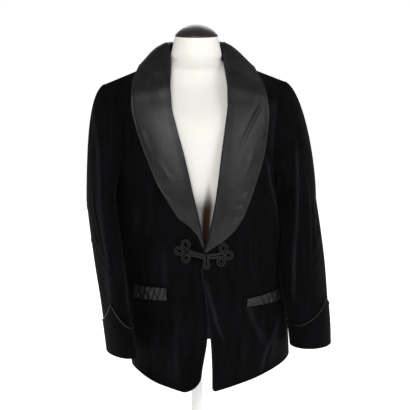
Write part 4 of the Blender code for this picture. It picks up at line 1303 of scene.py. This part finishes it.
def add_sleeve(side_name, grid, edge_normals):
    """The upper and the under piece of a sleeve, with a seam allowance tucked under the armhole's edge."""
    side = SIDES[side_name]
    normal = grid_normals(grid, -side, True)
    normal[0, :, 0] = 0
    normal = unit(normal)
    count = grid.shape[1]
    reach = round(count * UNDER_SHARE / 2)
    made = {}
    for name, columns in (("under", [k % count for k in range(-reach, reach + 1)]),
                          ("upper", list(range(reach, count - reach + 1)))):
        part = grid[:, columns]
        facing = normal[:, columns]
        distance = border_distance(part, columns=(True, True))
        sunk = part - facing * seam_dip(distance)[..., None]
        edge = edge_normals[None, columns]
        inward = part[:1] - part[1:2]
        inward = unit(inward - edge * np.sum(inward * edge, axis=-1, keepdims=True))
        under = part[:1] - edge * (VELVET_WALL + TUCK_GAP)
        tuck = np.concatenate([under + inward * TUCK_REACH, under])
        outer = np.concatenate([tuck, sunk])
        inner = np.concatenate([tuck - edge * VELVET_WALL, sunk - facing * VELVET_WALL])
        # Painted highlight on the sleeve's forward-facing side only
        painted_highlight = highlight_lines(part, side, SLEEVE_HIGHLIGHTS[side_name]) * (facing[..., 1] < 0)
        painted_highlight = np.concatenate([np.zeros((len(tuck), len(columns))), painted_highlight])
        node = f"sleeve_{side_name}_{name}"
        made[name] = shell(f"velvet_{node}", node, outer, inner, "velvet", painted_highlight=painted_highlight)
    return made


def swept(path, radius, turns, lobes=0, pitch=1.0, cyclic=False):
    """Points and faces of a cord: a round section, or one with lobes that twist once in a pitch."""
    path = np.array(path, dtype=float)
    if cyclic:
        way = unit(np.roll(path, -1, axis=0) - np.roll(path, 1, axis=0))
    else:
        way = unit(np.gradient(path, axis=0))
    run = run_along(path)
    aside = unit(np.cross(way, FORWARD))
    over = np.cross(aside, way)
    points = []
    for i in range(len(path)):
        for a in round_about(turns):
            twist = lobes * (a - 2 * pi * run[i] / pitch)
            size = radius * (1 - CORD_GROOVE + CORD_GROOVE * abs(cos(twist / 2))) if lobes else radius
            points.append(path[i] + (aside[i] * cos(a) + over[i] * sin(a)) * size)
    faces = cells(len(path), turns, True)
    if cyclic:
        last = (len(path) - 1) * turns
        faces += [(last + j, last + (j + 1) % turns, (j + 1) % turns, j) for j in range(turns)]
    else:
        faces += end_faces(len(path), turns)
    return points, faces


def doubled_cord(name, node, path):
    """Two twisted strands that run side by side along a path, closer together at its ends."""
    aside = unit(np.cross(unit(np.gradient(path, axis=0)), FORWARD))
    run = run_along(path)
    apart = np.interp(np.minimum(run, run[-1] - run), (STRAND_EASE, 2 * STRAND_EASE), STRAND_APART)[:, None]
    points, faces = [], []
    for way in (1, -1):
        strand, sides = swept(path + aside * way * apart, STRAND_RADIUS, CORD_TURNS, CORD_LOBES,
                              way * CORD_PITCH)
        faces += [tuple(k + len(points) for k in face) for face in sides]
        points += strand
    piece(name, node, mesh_of(name, points, faces), "cord")


def spaced(path, step):
    """A path read at even steps along its length, on a cubic through its points."""
    run = run_along(path)
    table = np.column_stack([run, path])
    return smooth(table, np.linspace(0, run[-1], int(run[-1] / step) + 2))[:, 1:]


def add_cuff(side_name, grid, angles):
    """A pointed cuff round the sleeve's end and the piping along its top edge."""
    cuff = named(CUFF_KEYS, CUFFS[side_name])
    end = SLEEVE_RINGS[side_name][-1][0] + HEM_Z
    lay = np.array([[sleeve_point(grid, k, end + cuff_top(cuff, a) * share) for k, a in enumerate(angles)]
                    for share in np.linspace(1, 0, CUFF_ROWS + 1)])
    normal = grid_normals(lay, -SIDES[side_name], True)
    outer = lay + normal * (CUFF_GAP + CUFF_WALL)
    node = f"cuff_{side_name}"
    made = shell(f"velvet_{node}", node, outer, lay + normal * CUFF_GAP, "velvet", wrap=True)
    tangent = unit(np.roll(lay[0], -1, axis=0) - np.roll(lay[0], 1, axis=0))
    upward = np.cross(tangent, normal[0])
    upward *= np.sign(upward[:, 2:])
    path = lay[0] + (normal[0] + upward) * (PIPING_RADIUS + PIPING_GAP)
    name = f"cuff_piping_cord_{side_name}"
    mesh = mesh_of(name, *swept(path, PIPING_RADIUS, PIPING_TURNS, cyclic=True))
    return made, piece(name, f"cuff_piping_{side_name}", mesh, "cord")


def rounded(coarse, side_name):
    """A collar's points with the fold rounded behind the neck, from the neck point to the centre back."""
    first = 2 * (len(LAPELS[side_name]) - 1)
    swell = BACK_ROUND * arch(np.linspace(0, 1, len(coarse) - first))
    weight = np.concatenate([np.linspace(0, 1, STAND_POINTS), np.linspace(1, 0, FALL_COLUMNS + 1)[1:]])
    away = coarse[first:] - np.array((0.0, NECK_AXIS_Y, 0.0))
    away[..., 2] = 0
    made = coarse.copy()
    made[first:] += unit(away) * (swell[:, None] * weight)[..., None]
    return made


def pointed(coarse, side_name):
    """A collar's points with its low end drawn to a point at the frog."""
    made = coarse.copy()
    for row, (width, slide) in enumerate(TIP_ROWS):
        roll = coarse[row, STAND_POINTS]
        made[row, STAND_POINTS:] = roll + (coarse[row, STAND_POINTS:] - roll) * width
        made[row] += np.array(TIP_SLIDE[side_name]) * slide
    return made


def add_collar(side_name, coarse, body_tree):
    """One half of the shawl collar, with its creases, its edge seam and its fold at the roll line."""
    rows = np.linspace(0, coarse.shape[0] - 1, COLLAR_LONG)
    columns = np.concatenate([np.linspace(0, STAND_POINTS, COLLAR_STAND, endpoint=False),
                              np.linspace(STAND_POINTS, coarse.shape[1] - 1, COLLAR_FALL)])
    grid = upsample(pointed(rounded(coarse, side_name), side_name), rows, columns)
    side = SIDES[side_name]
    normal = grid_normals(grid, side)
    normal[-1, :, 0] = 0
    normal = unit(normal)
    lift = crease_lift(*table_places(grid, side), COLLAR_CREASES[side_name])
    edge = border_distance(grid, columns=(False, True))
    lift -= EDGE_SEAM_DEPTH * np.exp(-((edge - EDGE_SEAM_PLACE) / EDGE_SEAM_WIDTH) ** 2)
    grid = grid + normal * (lift * np.clip(edge[:, ::-1] / COLLAR_FADE, 0, 1))[..., None]
    fall = slice(COLLAR_STAND + 2, None)
    grid[:, fall] = push_out(grid[:, fall], body_tree, SATIN_WALL + LAY_GAP)
    outer = pull_back(grid, SEAM_GAP / 2, (False, True), (False, False))
    node = f"collar_{side_name}"
    return shell(f"satin_{node}", node, outer, outer - normal * SATIN_WALL, "satin"), grid


def add_flap(side_name, front_tree):
    """A satin flap that lies on the front."""
    side = SIDES[side_name]
    flap = named(FLAP_KEYS, FLAPS[side_name])
    along = np.linspace(0, 1, FLAP_COLUMNS + 1)
    down = np.linspace(0, 1, FLAP_ROWS + 1)[:, None]
    x = flap["x_in"] + (flap["x_out"] - flap["x_in"]) * np.sin(along * pi / 2)
    drop = flap["drop_in"] + (flap["drop_out"] - flap["drop_in"]) * along
    heights = HEM_Z + flap["h_in"] + (flap["h_out"] - flap["h_in"]) * along - drop * down
    lay = np.array([[front_hit(front_tree, *place) for place in zip(side * x, row)] for row in heights])
    normal = grid_normals(lay, -side)
    ruffle = sum(height * (1 + np.sin(2 * pi * (beats * along + lean * down) + beats))
                 for beats, lean, height in RUFFLES)
    ruffle = ruffle * np.sqrt(np.clip((1 - along) / RUFFLE_FADE, 0, 1))
    outer = lay + normal * (FLAP_GAP + SATIN_WALL + ruffle[..., None])
    return shell(f"satin_flap_{side_name}", f"pocket_flap_{side_name}", outer, outer - normal * SATIN_WALL,
                 "satin")


def frog_course(row):
    """Places of a frog's cord: out along its stem, round its three petals and back."""
    frog = named(FROG_KEYS, row)
    sense = 1 if frog["angles"][0] < frog["angles"][-1] else -1
    places = [(frog["stem_x"], frog["stem_h"] + STEM_HALF)]
    for angle in frog["angles"]:
        places += [(frog["x"] + x, frog["h"] + h) for x, h in petal_points(angle, sense)]
    return places + [(frog["stem_x"], frog["stem_h"] - STEM_HALF)]


def loop_course():
    """Places of the loop's cord: down one side, round its foot and up the other side."""
    top, foot = np.array(LOOP_TOP), np.array(LOOP_FOOT)
    shares = np.linspace(0, 1, LOOP_SIDE_STEPS)
    turns = np.linspace(0, pi, LOOP_END_STEPS)[1:-1]
    places = [top + (foot - top) * share + (LOOP_HALF, 0) for share in shares]
    places += [foot + (LOOP_HALF * cos(a), -LOOP_HALF * sin(a)) for a in turns]
    return places + [top + (foot - top) * share - (LOOP_HALF, 0) for share in shares[::-1]]


def add_frogs(trees):
    """The corded trefoils of both fronts, and the loop that fastens them."""
    courses = {name: frog_course(row) for name, row in FROGS.items()}
    courses["loop"] = loop_course()
    for name, places in courses.items():
        path = spaced(lay_on_front(places, trees, FROG_RADIUS + LAY_GAP), CORD_STEP)
        doubled_cord(f"frog_cord_{name}", f"frog_{name}", path)


def signed_power(value, power):
    """A power of a value's size, with the value's sign."""
    return np.sign(value) * abs(value) ** power


def add_torso():
    """The limbless torso, with the soft fold of its cover."""
    heights = [ring[0] for ring in FORM_RINGS]
    levels = np.interp(np.linspace(0, len(heights) - 1, FORM_ROWS), np.arange(len(heights)), heights)
    points = []
    for h, half, front, back, square in smooth(FORM_RINGS, levels):
        middle, deep = (front + back) / 2, (back - front) / 2
        fade = np.clip((COVER_FOLD_HEIGHTS[0] - h) / (COVER_FOLD_HEIGHTS[0] - COVER_FOLD_HEIGHTS[1]), 0, 1)
        for a in round_about(FORM_TURNS):
            x = half * signed_power(cos(a), 2 / square)
            y = middle + deep * signed_power(sin(a), 2 / square)
            if y < 0:
                y += COVER_FOLD_DEPTH * fade * np.exp(-((x - COVER_FOLD_X) / COVER_FOLD_WIDTH) ** 2)
            points.append((x, y, HEM_Z + h))
    faces = cells(FORM_ROWS, FORM_TURNS, True) + end_faces(FORM_ROWS, FORM_TURNS)
    piece("form_cover", "form_torso", mesh_of("form_cover", points, faces), "form_cloth")


def add_cap():
    """The turned neck cap: a low dome over a short rim."""
    bottom = HEM_Z + FORM_RINGS[-1][0] + SEAM_GAP
    dome = CAP_HEIGHT - CAP_RIM
    ball = (CAP_RADIUS ** 2 + dome ** 2) / (2 * dome)
    profile = [(ball * sin(a), CAP_HEIGHT - ball * (1 - cos(a)))
               for a in np.linspace(0, 1, CAP_STEPS) * asin(CAP_RADIUS / ball)]
    profile += [(CAP_RADIUS, CAP_RIM * CAP_RIM_LOW), (CAP_RADIUS * CAP_FOOT, 0.0), (0.0, 0.0)]
    points = [(r * cos(a), CAP_CENTRE_Y + r * sin(a), bottom + z)
              for r, z in profile for a in round_about(CAP_TURNS)]
    mesh = mesh_of("neck_cap_wood", points, cells(len(profile), CAP_TURNS, True), weld=True)
    piece("neck_cap_wood", "form_neck_cap", mesh, "cap_wood")


def look_along(holder, way):
    """Turn a lamp or the camera to look along a way."""
    holder.rotation_euler = way.to_track_quat("-Z", "Y").to_euler()


def add_floor():
    """The pale floor and the white surroundings."""
    corners = ((-1, -1), (1, -1), (1, 1), (-1, 1))
    mesh = mesh_of("floor", [(x * FLOOR_HALF, y * FLOOR_HALF, FLOOR_Z) for x, y in corners], [(0, 1, 2, 3)])
    mesh.materials.append(base_material("floor_paper", FLOOR_GREY, FLOOR_ROUGHNESS, Emission_Color=WHITE,
                                        Emission_Strength=FLOOR_GLOW))
    placed("floor", mesh)
    world = bpy.data.worlds.new("studio")
    bpy.context.scene.world = world
    world.use_nodes = True
    backdrop = world.node_tree.nodes["Background"]
    backdrop.inputs["Color"].default_value = WHITE
    backdrop.inputs["Strength"].default_value = WORLD_STRENGTH


def add_stage():
    """The floor, the soft light and the camera at the photograph's angle."""
    add_floor()
    for name, row in LAMPS.items():
        lamp = named(LAMP_KEYS, row)
        light = bpy.data.lights.new(name, "AREA")
        light.energy = lamp["watts"]
        light.size = lamp["size"]
        holder = placed(name, light)
        holder.location = lamp["place"]
        look_along(holder, Vector(AIM) - Vector(lamp["place"]))
    camera = bpy.data.cameras.new("camera")
    camera.sensor_fit = "HORIZONTAL"
    camera.angle = 2 * atan(PHOTO_SIDE / 2 / PHOTO_FOCAL)
    holder = placed("camera", camera)
    a, e = radians(CAMERA_TURN), radians(CAMERA_RISE)
    right = Vector((cos(a), -sin(a), 0.0))
    ahead = Vector((sin(a) * cos(e), cos(a) * cos(e), -sin(e)))
    target = Vector((0.0, 0.0, HEM_Z + CAMERA_AIM)) + right * CAMERA_ASIDE
    holder.location = target - ahead * CAMERA_DISTANCE
    look_along(holder, ahead)
    bpy.context.scene.camera = holder
    bpy.context.scene.view_settings.view_transform = "Standard"


def dress():
    """Make every piece, and hide the solid that each stands in for."""
    for name in ("stand_pole", "stand_base"):
        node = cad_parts[name]
        node.data.materials.clear()
        node.data.materials.append(LOOKS["painted_metal"][0])
    bodies = {name: half_body(name) for name in SIDES}
    body_tree = tree_of(*bodies["left"], *bodies["right"])
    trees = [body_tree]
    for name, (front, back) in bodies.items():
        normals = panel_normals(front, back, SIDES[name])
        edge_normals = armhole_loop(normals[0][SKIRT_ROWS:, -1], normals[1][SKIRT_ROWS:, 0])
        sleeve, angles = sleeve_grid(name, front[SKIRT_ROWS:, -1], back[SKIRT_ROWS:, 0], body_tree)
        cloth = {**add_body(name, front, back, normals), **add_sleeve(name, sleeve, edge_normals)}
        cloth["cuff"], piping = add_cuff(name, sleeve, angles)
        cloth["collar"], collar_points = add_collar(name, collar_grid(name, front, back), body_tree)
        trees.append(tree_of(collar_points))
        cloth["flap"] = add_flap(name, tree_of(front))
    add_frogs(trees)
    add_torso()
    add_cap()


dress()
add_stage()
